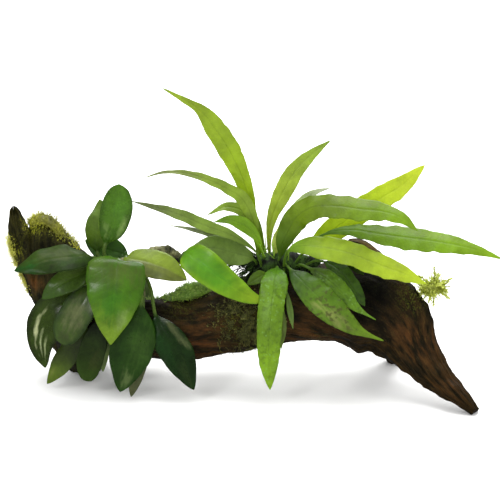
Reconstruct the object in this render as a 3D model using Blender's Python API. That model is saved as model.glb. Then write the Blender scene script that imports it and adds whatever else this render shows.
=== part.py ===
"""Java fern and anubias growing on a dark driftwood root, with moss.

Every leaf, stalk and wooden limb follows a smooth curve through a few chosen points. The points are
measured in a front view that looks down on the object a little: squares across, squares down and the
depth in millimetres (negative is nearer). All sizes below are in millimetres until they become metres.
"""
import math

import bmesh
import bpy
import numpy as np

NAME = "java_fern_on_driftwood"
MM = 0.001
SQUARE = 0.75          # one square of the measuring grid, in mm
VIEW_TILT = 18.0       # the front view looks down by this angle
VIEW_REACH = 1600.0    # distance of the front view from the object
VIEW_HEIGHT = 109.4    # height of the grid's centre above the floor
GRID_CENTRE = 250.0
SHIFT = (-2.8, -5.3, 0.0)
GAP = 0.3              # clearance between pieces that touch
ANUBIAS_STALK = 1.3    # stalk radii
FERN_STALK = 1.0
ANUBIAS_THICK = 0.60   # half thickness of a blade along its midrib
FERN_THICK = 0.50
DARK_WOOD = (42, 37, 14)
RED_WOOD = (64, 44, 22)
ROOT_COLOUR = (111, 114, 69)
LIMB_SIDES = 14
STALK_STEPS = 3

# Half widths along a blade, from its base to its tip, as shares of the widest.
BROAD = ((0, 0.3), (0.07, 0.8), (0.2, 1), (0.36, 0.96), (0.54, 0.8), (0.72, 0.56), (0.88, 0.27),
         (1, 0.03))
OVAL = ((0, 0.12), (0.12, 0.6), (0.28, 0.93), (0.46, 1), (0.64, 0.88), (0.8, 0.6), (0.93, 0.28),
        (1, 0.04))
BLUNT = ((0, 0.2), (0.12, 0.66), (0.3, 0.95), (0.52, 1), (0.75, 0.92), (0.9, 0.7), (1, 0.35))
LANCE = ((0, 0.1), (0.12, 0.42), (0.28, 0.8), (0.46, 1), (0.62, 0.92), (0.76, 0.66), (0.89, 0.33),
         (1, 0.05))
TALL = ((0, 0.16), (0.12, 0.34), (0.26, 0.54), (0.42, 0.82), (0.57, 1), (0.7, 0.9), (0.81, 0.46),
        (0.91, 0.24), (1, 0.06))
TAIL = ((0, 0.2), (0.1, 0.62), (0.26, 0.96), (0.42, 1), (0.57, 0.84), (0.71, 0.52), (0.84, 0.2), (1, 0.05))
TONGUE = ((0, 0.2), (0.06, 0.62), (0.14, 0.95), (0.36, 1), (0.6, 0.96), (0.77, 0.8), (0.9, 0.46),
          (1, 0.06))
LONG = ((0, 0.14), (0.14, 0.3), (0.3, 0.6), (0.46, 0.92), (0.58, 1), (0.74, 0.78), (0.89, 0.38), (1, 0.05))
ARCH = ((0, 0.16), (0.12, 0.4), (0.26, 0.82), (0.38, 1), (0.52, 0.86), (0.68, 0.62), (0.84, 0.34),
        (1, 0.05))
ROUND = ((0, 0.12), (0.13, 0.6), (0.3, 0.9), (0.5, 1), (0.68, 0.98), (0.83, 0.8), (0.94, 0.48), (1, 0.1))
STRAP = ((0, 0.14), (0.1, 0.62), (0.24, 0.94), (0.42, 1), (0.6, 0.96), (0.77, 0.8), (0.9, 0.46),
         (1, 0.06))

# name, stalk points, blade points, full width in mm, upper side at the base and at the tip, outline,
# how far the heart lobes reach back, how much the edges rise, colour
ANUBIAS_LEAVES = (
    ("front_large", ((126, 264, 4), (122, 262, -14)), ((117, 260, -25), (115, 286, -36), (112, 318, -41),
     (110.5, 345, -39.5)), 43.5, (0, -0.6, 0.8), (0, -1.0, 0.1), BROAD, 4.5, -0.1, (78, 125, 43)),
    ("upright_bright", ((107, 262, 6), (104, 252, 4)), ((106, 242, 4), (113, 225, 4), (117, 207, 5),
     (119, 184, 8)), 23.5, (0.1, -0.95, 0.3), (0.1, -1.0, 0.1), ROUND, 1.0, 0.1, (78, 120, 40)),
    ("upright_back", ((104, 262, 11), (99, 258, 13)), ((97, 250, 14), (98, 232, 15), (101, 214, 17),
     (100, 199, 20)), 20.0, (-0.2, -0.9, 0.3), (-0.3, -1.0, 0.0), OVAL, 1.0, 0.1, (76, 108, 38)),
    ("low_dark", ((128, 263, 12), (130, 258, 18)), ((126, 255, 22), (112, 251, 24), (99, 246, 25),
     (85, 240, 26)), 20.5, (0, -0.9, 0.35), (0, -0.95, 0.3), OVAL, 1.0, 0.08, (30, 58, 10)),
    ("left_upper", ((104, 264, -2), (98, 260, -10)), ((91, 257, -18), (72, 257, -28), (52, 259, -32),
     (33, 264, -34), (14, 271, -34)), 24.0, (-0.1, -0.55, 0.8), (-0.3, -0.7, 0.65), OVAL, 2.0, -0.08,
     (70, 90, 46)),
    ("left_lower", ((108, 266, -2), (100, 268, -12)), ((93, 270, -18), (76, 277, -25), (58, 286, -29),
     (42, 299, -30)), 19.0, (-0.1, -0.8, 0.6), (-0.3, -0.9, 0.4), OVAL, 2.0, 0.08, (55, 78, 33)),
    ("grey_green", ((112, 267, -2), (103, 278, -14)), ((92, 288, -21), (82, 304, -27), (71, 323, -29),
     (60, 343, -28)), 24.5, (-0.2, -0.95, 0.3), (-0.2, -1.0, 0.1), BLUNT, 2.0, 0.06, (86, 96, 62)),
    ("lower_left_dark", ((116, 268, 1), (92, 282, -9)), ((76, 294, -14), (52, 312, -18), (41, 338, -18),
     (45, 368, -16)), 28.0, (-0.4, -0.9, 0.3), (-0.4, -1.0, 0.1), OVAL, 2.0, 0.1, (48, 62, 27)),
    ("lower_left_small", ((117, 268, 6), (98, 308, -12)), ((86, 326, -15), (74, 345, -16),
     (60, 366, -14), (47, 384, -10)), 17.0, (-0.3, -0.95, 0.2), (-0.3, -1.0, 0.0), OVAL, 1.0, 0.08, (70,
     88, 38)),
    ("lower_middle", ((121, 268, 3), (106, 304, -20)), ((100, 322, -25), (95, 342, -27), (90, 360, -26),
     (86, 381, -23)), 21.0, (-0.1, -1.0, 0.2), (-0.1, -1.0, 0.0), BLUNT, 1.0, 0.08, (48, 58, 22)),
    ("lower_middle_small", ((123, 268, 8), (110, 310, -14)), ((105, 326, -17), (103, 345, -18),
     (103, 358, -17), (103, 372, -15)), 9.5, (0.2, -1.0, 0.1), (0.2, -1.0, 0.0), OVAL, 0.5, 0.06, (45,
     55, 24)),
    ("hanging_front", ((131, 267, 2), (142, 292, -20)), ((140, 308, -27), (135, 334, -34),
     (128, 362, -36), (120, 392, -35)), 35.0, (0.1, -0.95, 0.3), (0, -1.0, 0.1), OVAL, 2.0, -0.1, (45,
     70, 26)),
    ("hanging_back", ((135, 267, 4), (143, 300, -16)), ((142, 322, -22), (139, 348, -26),
     (136, 374, -28), (131, 397, -28)), 15.0, (0.2, -0.95, 0.2), (0, -1.0, 0.1), OVAL, 1.0, 0.08, (44,
     58, 22)),
    ("dark_right", ((141, 266, 2), (151, 290, -15)), ((156, 317, -21), (164, 332, -28), (177, 353, -34),
     (194, 390, -37)), 25.0, (0.2, -0.9, 0.4), (0.2, -1.0, 0.1), OVAL, 1.0, -0.08, (36, 52, 17)),
    ("above_gap", ((132, 262, 1), (126, 257, -4)), ((126, 258, -8), (143, 261, -12), (165, 268, -16),
     (187, 280, -18)), 23.0, (0.1, -0.55, 0.85), (0.1, -0.9, 0.45), OVAL, 1.0, 0.06, (140, 158, 66)),
    ("young_bright", ((180, 259, 5), (182, 256, -8)), ((186, 253, -19), (204, 266, -29), (228, 284, -34),
     (250, 297, -36), (269, 303, -36)), 24.5, (0.1, -0.8, 0.6), (0.1, -0.95, 0.3), BROAD, 1.5, 0.08,
     (108, 160, 38)),
    ("back_left", ((104, 266, 12), (96, 262, 32)), ((92, 264, 44), (76, 276, 58), (64, 298, 66),
     (60, 326, 66)), 27.0, (-0.3, 0.8, 0.5), (-0.2, 1.0, 0.1), OVAL, 2.0, 0.08, (55, 85, 32)),
    ("back_middle", ((124, 267, 14), (118, 262, 30)), ((116, 266, 44), (110, 286, 58), (108, 312, 64),
     (112, 342, 62)), 26.0, (0.0, 0.85, 0.5), (0, 1.0, 0.1), OVAL, 2.0, 0.08, (60, 92, 34)),
    ("back_right", ((143, 262, 12), (140, 260, 30)), ((139, 268, 43), (143, 296, 56), (160, 322, 60),
     (184, 340, 60)), 19.0, (0.3, 0.8, 0.5), (0.2, 1.0, 0.1), LANCE, 1.0, 0.08, (50, 78, 28)),
)

FERN_LEAVES = (
    ("tall", ((264, 265, 13), (262, 260, 15)), ((260, 255, 17), (257, 242, 16), (254, 228, 15), (247,
     192, 10), (235, 161, 4), (219, 134, -3), (200, 110, -9), (182, 99, -14), (162, 88, -18)), 15.5,
     (-0.3, -0.9, 0.2), (-0.2, -0.7, 0.7), TALL, 0, 0.12, (142, 170, 44)),
    ("arch_upper", ((259, 267, 12), (259, 261, 11)), ((258, 255, 10), (256, 238, 6), (253, 220, 4),
     (241, 198, 0), (222, 186, -5), (203, 178, -9), (184, 173, -12), (160, 173, -16), (144, 178, -18)),
     12.0, (-0.3, -0.7, 0.6), (0, -0.6, 0.8), ARCH, 0, 0.12, (142, 163, 62)),
    ("arch_lower", ((262, 268, 6), (260, 261, 1)), ((256, 252, -4), (245, 243, -8), (226, 233, -12),
     (206, 226, -16), (188, 218, -19), (168, 211, -22), (150, 206, -24), (131, 201, -26)), 13.0, (-0.1,
     -0.8, 0.6), (0, -0.8, 0.6), LANCE, 0, 0.12, (122, 145, 66)),
    ("thin_tip_left", ((260, 267, 12), (251, 253, 14)), ((240, 245, 13), (214, 236, 10), (190, 229, 6),
     (168, 225, 2)), 7.5, (-0.1, -0.8, 0.6), (0, -0.8, 0.6), LANCE, 0, 0.1, (135, 155, 85)),
    ("arch_small", ((266, 266, 14), (266, 261, 18)), ((265, 255, 20), (262, 241, 21), (257, 226, 21),
     (243, 211, 18), (226, 207, 15), (207, 215, 12)), 10.0, (-0.2, -0.7, 0.7), (-0.3, -0.7, 0.6), LONG,
     0, 0.1, (112, 138, 40)),
    ("arch_low_small", ((264, 267, 10), (264, 261, 7)), ((263, 255, 4), (260, 245, 2), (255, 235, 1),
     (242, 224, -2), (230, 220, -5), (214, 222, -8)), 10.5, (-0.2, -0.8, 0.6), (-0.3, -0.8, 0.5), LONG,
     0, 0.1, (104, 138, 36)),
    ("upper_right", ((272, 265, 14), (271, 260, 14)), ((270, 255, 14), (269, 240, 14), (271, 222, 14),
     (284, 190, 16), (296, 170, 19), (311, 155, 22), (331, 140, 26)), 15.5, (0.2, -0.9, 0.3), (0.2,
     -0.8, 0.5), LONG, 0, 0.1, (150, 175, 54)),
    ("wide_middle", ((276, 266, 6), (278, 261, 4)), ((280, 256, 2), (283, 243, -2), (288, 231, -4),
     (299, 215, -9), (314, 207, -14), (336, 206, -19), (360, 209, -23), (385, 212, -25), (402, 218,
     -27), (418, 231, -28)), 19.5, (0, -0.8, 0.6), (0.2, -0.7, 0.7), STRAP, 0, -0.1, (112, 144, 46)),
    ("long_right", ((294, 265, 5), (307, 248, 0)), ((325, 234, -5), (350, 230, -9), (380, 234, -13),
     (410, 238, -17), (440, 242, -19), (470, 248, -21), (503, 259, -22)), 17.5, (0, -0.6, 0.8), (0,
     -0.7, 0.7), LANCE, 0, -0.1, (126, 161, 42)),
    ("bright_backlit", ((290, 265, 13), (299, 257, 12)), ((308, 249, 10), (324, 237, 7), (348, 219, 5),
     (378, 200, 6), (402, 185, 8), (425, 165, 12)), 17.0, (-0.1, -0.9, 0.3), (0, -0.9, 0.4), STRAP, 0,
     0.08, (182, 206, 34)),
    ("curled_tip", ((282, 265, 15), (283, 260, 16)), ((283, 255, 18), (286, 240, 19), (289, 226, 20),
     (300, 205, 20), (314, 193, 19), (330, 188, 17)), 9.0, (0, -0.8, 0.6), (0.2, -0.7, 0.7), LONG, 0,
     0.1, (116, 144, 58)),
    ("bright_right", ((284, 266, 0), (285, 258, -6)), ((289, 250, -12), (302, 246, -17), (322, 247,
     -22), (350, 253, -28), (375, 263, -32), (400, 272, -35), (426, 284, -37)), 18.0, (0, -0.75, 0.65),
     (0, -0.8, 0.6), STRAP, 0, -0.1, (155, 188, 55)),
    ("hanging", ((276, 269, 3), (277, 267, -3)), ((277, 268, -11), (275.5, 276, -26), (272, 301, -39),
     (269, 335, -44), (269, 364, -44), (270, 390, -42.5)), 16.5, (0, -0.6, 0.8), (0, -1.0, 0.1),
     TONGUE, 0, -0.1, (114, 153, 47)),
    ("spotted_large", ((288, 266, 2), (288, 267, -10)), ((292, 271, -22), (314, 292, -36), (336, 313,
     -42), (358, 330, -44), (384, 341, -44)), 22.5, (0.2, -0.85, 0.5), (0.2, -0.9, 0.4), TAIL, 0, -0.1,
     (104, 130, 52)),
    ("behind_spotted", ((297, 266, 2), (302, 265, -10)), ((311, 269, -18), (327, 278, -26), (342, 292,
     -31), (357, 308, -34), (376, 320, -36)), 14.0, (0.2, -0.85, 0.5), (0.2, -0.9, 0.4), TAIL, 0,
     -0.08, (88, 121, 42)),
    ("narrow_hanging", ((284, 269, 2), (285, 280, -16)), ((287, 291, -23), (289, 304, -27), (291, 316,
     -29), (293, 329, -29)), 4.5, (0, -0.95, 0.3), (0, -1.0, 0.1), LANCE, 0, 0.05, (85, 108, 46)),
    ("behind_hanging", ((279, 270, 4), (280, 284, -16)), ((280, 298, -25), (281, 314, -30), (282, 332,
     -33), (281, 350, -34)), 7.0, (0.2, -0.95, 0.3), (0.1, -1.0, 0.1), LANCE, 0, 0.08, (70, 90, 36)),
    ("small_dark_left", ((272, 269, 4), (270, 271, -10)), ((267, 273, -16), (261, 276, -21), (254, 280,
     -25), (247, 285, -28)), 10.0, (-0.2, -0.8, 0.6), (-0.2, -0.8, 0.5), OVAL, 0, 0.08, (66, 92, 36)),
    ("dark_blue_right", ((306, 265, 2), (315, 261, -6)), ((325, 262, -13), (340, 271, -20), (352, 286,
     -26), (365, 306, -29)), 13.0, (0.3, -0.75, 0.6), (0.3, -0.9, 0.4), STRAP, 0, 0.06, (50, 74, 34)),
    ("dark_behind", ((312, 264, 8), (320, 256, 8)), ((328, 254, 5), (340, 256, -3), (352, 264, -9),
     (364, 275, -12)), 9.0, (0.2, -0.75, 0.6), (0.2, -0.8, 0.5), STRAP, 0, 0.06, (32, 50, 10)),
    ("olive_left", ((258, 268, 10), (256, 262, 4)), ((253, 259, 0), (234, 253, -4), (211, 248, -8),
     (188, 251, -12)), 21.0, (0, -0.75, 0.65), (0, -0.8, 0.6), OVAL, 0, 0.06, (90, 110, 50)),
    ("inner_green", ((270, 267, 6), (272, 261, 8)), ((274, 255, 9), (278, 243, 7), (282, 234, 6), (291,
     221, 4), (304, 210, 3)), 10.5, (0.1, -0.9, 0.4), (0.2, -0.9, 0.4), OVAL, 0, 0.08, (96, 130, 44)),
    ("back_left", ((268, 268, 18), (264, 262, 34)), ((258, 268, 46), (246, 288, 62), (238, 314, 70),
     (234, 338, 70)), 14.0, (-0.2, 0.8, 0.5), (-0.1, 1.0, 0.1), LANCE, 0, 0.08, (100, 130, 44)),
    ("back_middle", ((288, 266, 18), (290, 260, 34)), ((294, 266, 48), (300, 284, 64), (304, 308, 72),
     (306, 332, 70)), 15.0, (0.1, 0.8, 0.5), (0, 1.0, 0.1), LANCE, 0, 0.08, (92, 124, 40)),
    ("back_right", ((308, 264, 16), (322, 258, 30)), ((334, 260, 44), (352, 274, 60), (368, 296, 70),
     (380, 322, 72)), 14.0, (0.3, 0.8, 0.5), (0.2, 1.0, 0.1), LANCE, 0, 0.08, (84, 112, 38)),
)

# Wooden limbs: across, down, depth, half thickness in the view, half depth (all but the first two in mm).
STUMP = ((41, 219, 10, 7, 9), (43, 233, 11, 13.6, 17), (50.5, 252, 13, 19.8, 23), (62, 277, 16, 27, 28),
         (73, 306, 22, 27.5, 29), (80, 332, 30, 23, 24), (85, 353, 38, 16, 18), (89, 374, 46, 10, 13))
HORN = ((14, 212, 4, 1.8, 2.4), (15.5, 219, 4, 4.4, 5.6), (19, 231, 5, 8.0, 9), (25, 250, 7, 9.5, 12),
        (36, 272, 10, 11, 14), (50, 296, 14, 13, 16))
MAIN = ((78, 322, 15, 17, 18), (110, 326, 12, 21, 24), (150, 327, 9, 23, 26), (190, 326.5, 8, 22.8, 26),
        (230, 317, 8, 26, 27), (270, 309, 8, 28, 28), (310, 306, 9, 28.5, 29), (346, 305, 8, 31.5, 29),
        (371, 311, 5, 35, 28), (391, 319, -1, 30, 25), (407, 337, -9, 23.5, 21), (420, 355, -19, 16.8, 17),
        (445, 383, -38, 10.5, 11), (460, 397, -49, 6.5, 8.5), (475, 412, -57, 4, 6))
MAIN_FORK = 0.545
SHOULDER = ((372, 302, 16, 15, 14), (371, 276, 17, 16.5, 15), (367, 258, 18, 12, 12), (358, 247, 18, 7, 8),
            (347, 241, 18, 2.6, 4))
FRONT_FOOT = ((140, 330, 8, 13, 14), (134, 350, 10, 12.5, 14), (130, 370, 11, 9, 12), (129, 391, 12, 6.5, 9))
BACK_ROOT = ((368, 310, 18, 15, 14), (381, 330, 34, 13, 13), (391, 346, 47, 9, 10), (398, 368, 58, 6.5, 8))

ANUBIAS_RHIZOME = ((97, 264, 2, 3, 3), (104, 264, 4, 4, 4), (122, 264, 5, 4.6, 4.6), (140, 259, 7, 4.4, 4.4),
                   (153, 252, 9, 4.2, 4.2), (167, 251, 9, 4.0, 4.0), (178, 257, 8, 3.6, 3.6),
                   (184, 263, 7, 2.4, 2.4))
FERN_RHIZOME = ((249, 270, 12, 2.6, 3), (257, 266, 11, 6, 6.5), (269, 263, 11, 8.4, 8.6),
                (284, 262, 11, 8.4, 8.6), (298, 262, 10, 6.6, 6.5), (311, 262, 11, 4.4, 4.4),
                (321, 261, 12, 2.4, 2.4))
ANUBIAS_ROOTS = (("left", ((128, 264, 8), (135, 282, 22), (137, 303, 22))),
                 ("right", ((150, 256, 10), (145, 276, 22), (144, 302, 22))))
ROOT_RADIUS = 0.9

# Moss cushions: across, down, depth, half thickness in the view, half depth.
MOSS = (
    ("stump_top", ((28.5, 223.5, 10, 3.2, 6), (38.5, 219.5, 10, 4.8, 10), (48, 221.5, 10, 5.2, 12),
                   (56, 230, 11, 5.2, 13), (66, 240, 12, 4.8, 12), (78, 250, 12, 3.4, 8)), (172, 180, 74)),
    ("horn_edge", ((11.5, 233, 4, 2.6, 4.5), (13, 245, 5, 4.0, 7), (18.5, 259, 6, 4.6, 8),
                   (26.5, 277, 8, 4.6, 9), (34.5, 293, 10, 2.8, 6)), (160, 165, 90)),
    ("trunk_top", ((144, 303, 8, 1.6, 6), (162, 301, 8, 3.0, 10), (176, 297, 8, 5.0, 10),
                   (188, 292, 8, 7.5, 10), (200, 290, 8, 8.0, 9), (213, 295, 8, 5.0, 6)), (60, 76, 26)),
    ("trunk_front", ((210, 324, -17, 6, 7), (220, 323, -18, 13, 9), (235, 322, -19, 16.5, 9),
                     (250, 321, -19, 16.5, 9), (262, 321, -19, 12, 8), (269, 321, -19, 6, 7)), (45, 51, 17)),
)
MOSS_COAT = 2.8
TUFT_CENTRE = (434, 287, -8)
TUFT_REACH = 15.5
TUFT_CORE = 3.2


def place(across, down, depth):
    """A point of the object from its place in the front view and its depth."""
    tilt = math.radians(VIEW_TILT)
    up = np.array((0.0, math.sin(tilt), math.cos(tilt)))
    back = np.array((0.0, -math.cos(tilt), math.sin(tilt)))
    eye = np.array((0.0, 0.0, VIEW_HEIGHT)) + VIEW_REACH * back
    ray = (across - GRID_CENTRE) * SQUARE * np.array((1.0, 0.0, 0.0))
    ray = ray + (GRID_CENTRE - down) * SQUARE * up - VIEW_REACH * back
    return eye + ray * (depth - eye[1]) / ray[1] + np.array(SHIFT)


def curve(points, shares):
    """Smooth curve through the points, read at the given shares of its length."""
    points = np.asarray(points, float)
    steps = np.linalg.norm(np.diff(points[:, :3], axis=0), axis=1)
    knots = np.concatenate(([0.0], np.cumsum(steps)))
    knots = knots / knots[-1]
    slopes = np.gradient(points, knots, axis=0)
    shares = np.asarray(shares, float)
    cell = np.clip(np.searchsorted(knots, shares, side="right") - 1, 0, len(knots) - 2)
    wide = knots[cell + 1] - knots[cell]
    t = ((shares - knots[cell]) / wide)[:, None]
    wide = wide[:, None]
    return ((1 + 2 * t) * (1 - t) ** 2 * points[cell] + t * (1 - t) ** 2 * wide * slopes[cell]
            + t * t * (3 - 2 * t) * points[cell + 1] + t * t * (t - 1) * wide * slopes[cell + 1])


def unit(rows):
    """Rows scaled to length one."""
    return rows / np.linalg.norm(rows, axis=-1, keepdims=True)


def loft(name, rings, collection, colour=None, roughness=0.5):
    """Closed body through rings of equal point count, in metres."""
    rings = np.asarray(rings) * MM
    count, sides = rings.shape[:2]
    mesh = bpy.data.meshes.new(name)
    bm = bmesh.new()
    rows = [[bm.verts.new(p) for p in ring] for ring in rings]
    for low, high in zip(rows, rows[1:]):
        for k in range(sides):
            bm.faces.new((low[k], low[(k + 1) % sides], high[(k + 1) % sides], high[k]))
    bm.faces.new(rows[0][::-1])
    bm.faces.new(rows[-1])
    bmesh.ops.recalc_face_normals(bm, faces=bm.faces)
    bmesh.ops.triangulate(bm, faces=bm.faces, quad_method="FIXED")
    bm.to_mesh(mesh)
    bm.free()
    return dress(name, mesh, collection, colour, roughness)


def linear(colour):
    """A colour seen on a screen, 0 to 255, as the shader's linear values."""
    shares = np.array(colour) / 255
    return np.where(shares <= 0.04045, shares / 12.92, ((shares + 0.055) / 1.055) ** 2.4)


def thin_root(name, points, collection):
    """A thin round root along the points, as a closed mesh."""
    line = bpy.data.curves.new(name + "_line", "CURVE")
    line.dimensions = "3D"
    line.bevel_depth = ROOT_RADIUS * MM
    line.bevel_resolution = 1
    line.use_fill_caps = True
    spline = line.splines.new("POLY")
    route = curve([place(*p) for p in points], np.linspace(0, 1, 6)) * MM
    spline.points.add(len(route) - 1)
    for point, at in zip(spline.points, route):
        point.co = (*at, 1.0)
    guide = bpy.data.objects.new(name + "_line", line)
    collection.objects.link(guide)
    bpy.context.view_layer.update()
    mesh = bpy.data.meshes.new_from_object(guide.evaluated_get(bpy.context.evaluated_depsgraph_get()))
    bpy.data.objects.remove(guide, do_unlink=True)
    bm = bmesh.new()
    bm.from_mesh(mesh)
    bmesh.ops.remove_doubles(bm, verts=bm.verts, dist=1e-6)
    bmesh.ops.triangulate(bm, faces=bm.faces)
    bm.to_mesh(mesh)
    bm.free()
    return dress(name, mesh, collection, ROOT_COLOUR, 0.6)


def dress(name, mesh, collection, colour, roughness):
    """Links the mesh as an object and gives it a material of its own."""
    obj = bpy.data.objects.new(name, mesh)
    collection.objects.link(obj)
    if colour is not None:
        material = bpy.data.materials.new(name)
        material.use_nodes = True
        shader = material.node_tree.nodes["Principled BSDF"]
        shader.inputs["Base Color"].default_value = (*linear(colour), 1.0)
        shader.inputs["Roughness"].default_value = roughness
        shader.inputs["Metallic"].default_value = 0.0
        mesh.materials.append(material)
    return obj


def leaf_rings(stalk, blade, width, face_base, face_tip, outline, lobe, rise, radius, thick):
    """Rings of one leaf: a six-sided stalk that opens into a thin lens-shaped blade."""
    stalk = [place(*p) for p in stalk]
    blade = [place(*p) for p in blade]
    points = np.array(stalk + blade)
    steps = np.concatenate(([0.0], np.cumsum(np.linalg.norm(np.diff(points, axis=0), axis=1))))
    split = steps[len(stalk)] / steps[-1]
    shares = np.concatenate((np.linspace(0, split, STALK_STEPS, endpoint=False),
                             split + (1 - split) * np.array([t for t, _ in outline])))
    centre = curve(points, shares)
    ahead = unit(curve(points, np.minimum(shares + 0.01, 1)) - curve(points, np.maximum(shares - 0.01, 0)))
    face = (1 - shares)[:, None] * np.array(face_base, float) + shares[:, None] * np.array(face_tip, float)
    face = unit(face - (face * ahead).sum(1)[:, None] * ahead)
    side = np.cross(ahead, face)
    side[:STALK_STEPS] = side[STALK_STEPS]
    side = unit(side - (side * ahead).sum(1)[:, None] * ahead)
    face = np.cross(side, ahead)
    rings = []
    for i, share in enumerate(shares):
        if i < STALK_STEPS:
            flat = [(radius * math.cos(a), radius * math.sin(a), 0.0) for a in np.arange(6) * math.pi / 3]
        else:
            t, part = outline[i - STALK_STEPS]
            half = max(width / 2 * part, 0.45)
            deep = thick * (1 - 0.45 * t)
            if t == 0 and lobe == 0:
                deep = max(deep, radius * 0.8)
            back = lobe * (1 - t) ** 4
            lift = rise * half
            inner = 0.5 * half
            top, under = lift / 4 + deep, lift / 4 - deep
            flat = [(half, lift, -back), (inner, top, -back / 4), (-inner, top, -back / 4),
                    (-half, lift, -back), (-inner, under, -back / 4), (inner, under, -back / 4)]
        rings.append([centre[i] + s * side[i] + n * face[i] + a * ahead[i] for s, n, a in flat])
    return rings


def limb_rings(spec, steps, start=0.0, end=1.0, grow=0.0, wobble=0.06, sides=LIMB_SIDES, begin_gap=0.0):
    """Rings of a wooden limb: uneven ovals with lengthwise ridges, each across the limb's own path."""
    points = np.array([(*place(*row[:3]), row[3], row[4]) for row in spec])
    shares = np.linspace(start, end, steps)
    rows = curve(points, shares)
    centre, high, deep = rows[:, :3], rows[:, 3] + grow, rows[:, 4] + grow
    further = curve(points, np.minimum(shares + 0.05, 1))[:, :3]
    ahead = unit(further - curve(points, np.maximum(shares - 0.05, 0))[:, :3])
    across = unit(np.array((0.0, 1.0, 0.0)) - ahead[:, 1:2] * ahead)
    upward = np.cross(across, ahead)
    centre[0] += (begin_gap - grow) * ahead[0]
    centre[-1] += grow * ahead[-1]
    turn = (np.arange(sides) * 2 * math.pi / sides)[None]
    along = (shares * 9.0)[:, None]
    ridge = 1 + wobble * (np.sin(3 * turn + along) + 0.7 * np.sin(5 * turn - 1.3 * along + 1))
    rise = (high[:, None] * ridge * np.sin(turn))[..., None]
    spread = (deep[:, None] * ridge * np.cos(turn))[..., None]
    return centre[:, None] + rise * upward[:, None] + spread * across[:, None]


def lump(name, spec, collection, colour, sides=8, steps=5):
    """Moss cushion: a closed oval body along a short path that covers the fibres' tips."""
    return loft(name, limb_rings(spec, steps, wobble=0.10, sides=sides), collection, colour, 0.9)


def tuft(name, collection, colour):
    """Star-like moss tuft: a small ball whose twelve main corners are drawn out into spikes."""
    mesh = bpy.data.meshes.new(name)
    bm = bmesh.new()
    bmesh.ops.create_icosphere(bm, subdivisions=2, radius=TUFT_CORE * MM)
    for vert in bm.verts:
        if len(vert.link_edges) == 5:
            vert.co *= TUFT_REACH / TUFT_CORE
    centre = place(*TUFT_CENTRE) * MM
    bmesh.ops.translate(bm, verts=bm.verts, vec=centre)
    bm.to_mesh(mesh)
    bm.free()
    return dress(name, mesh, collection, colour, 0.9)


def cut(target, cutter, operation="DIFFERENCE"):
    """Takes the cutter out of the target, or keeps only what lies inside it."""
    modifier = target.modifiers.new("clearance_" + cutter.name[:40], "BOOLEAN")
    modifier.operation = operation
    modifier.solver = "EXACT"
    modifier.object = cutter


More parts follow.
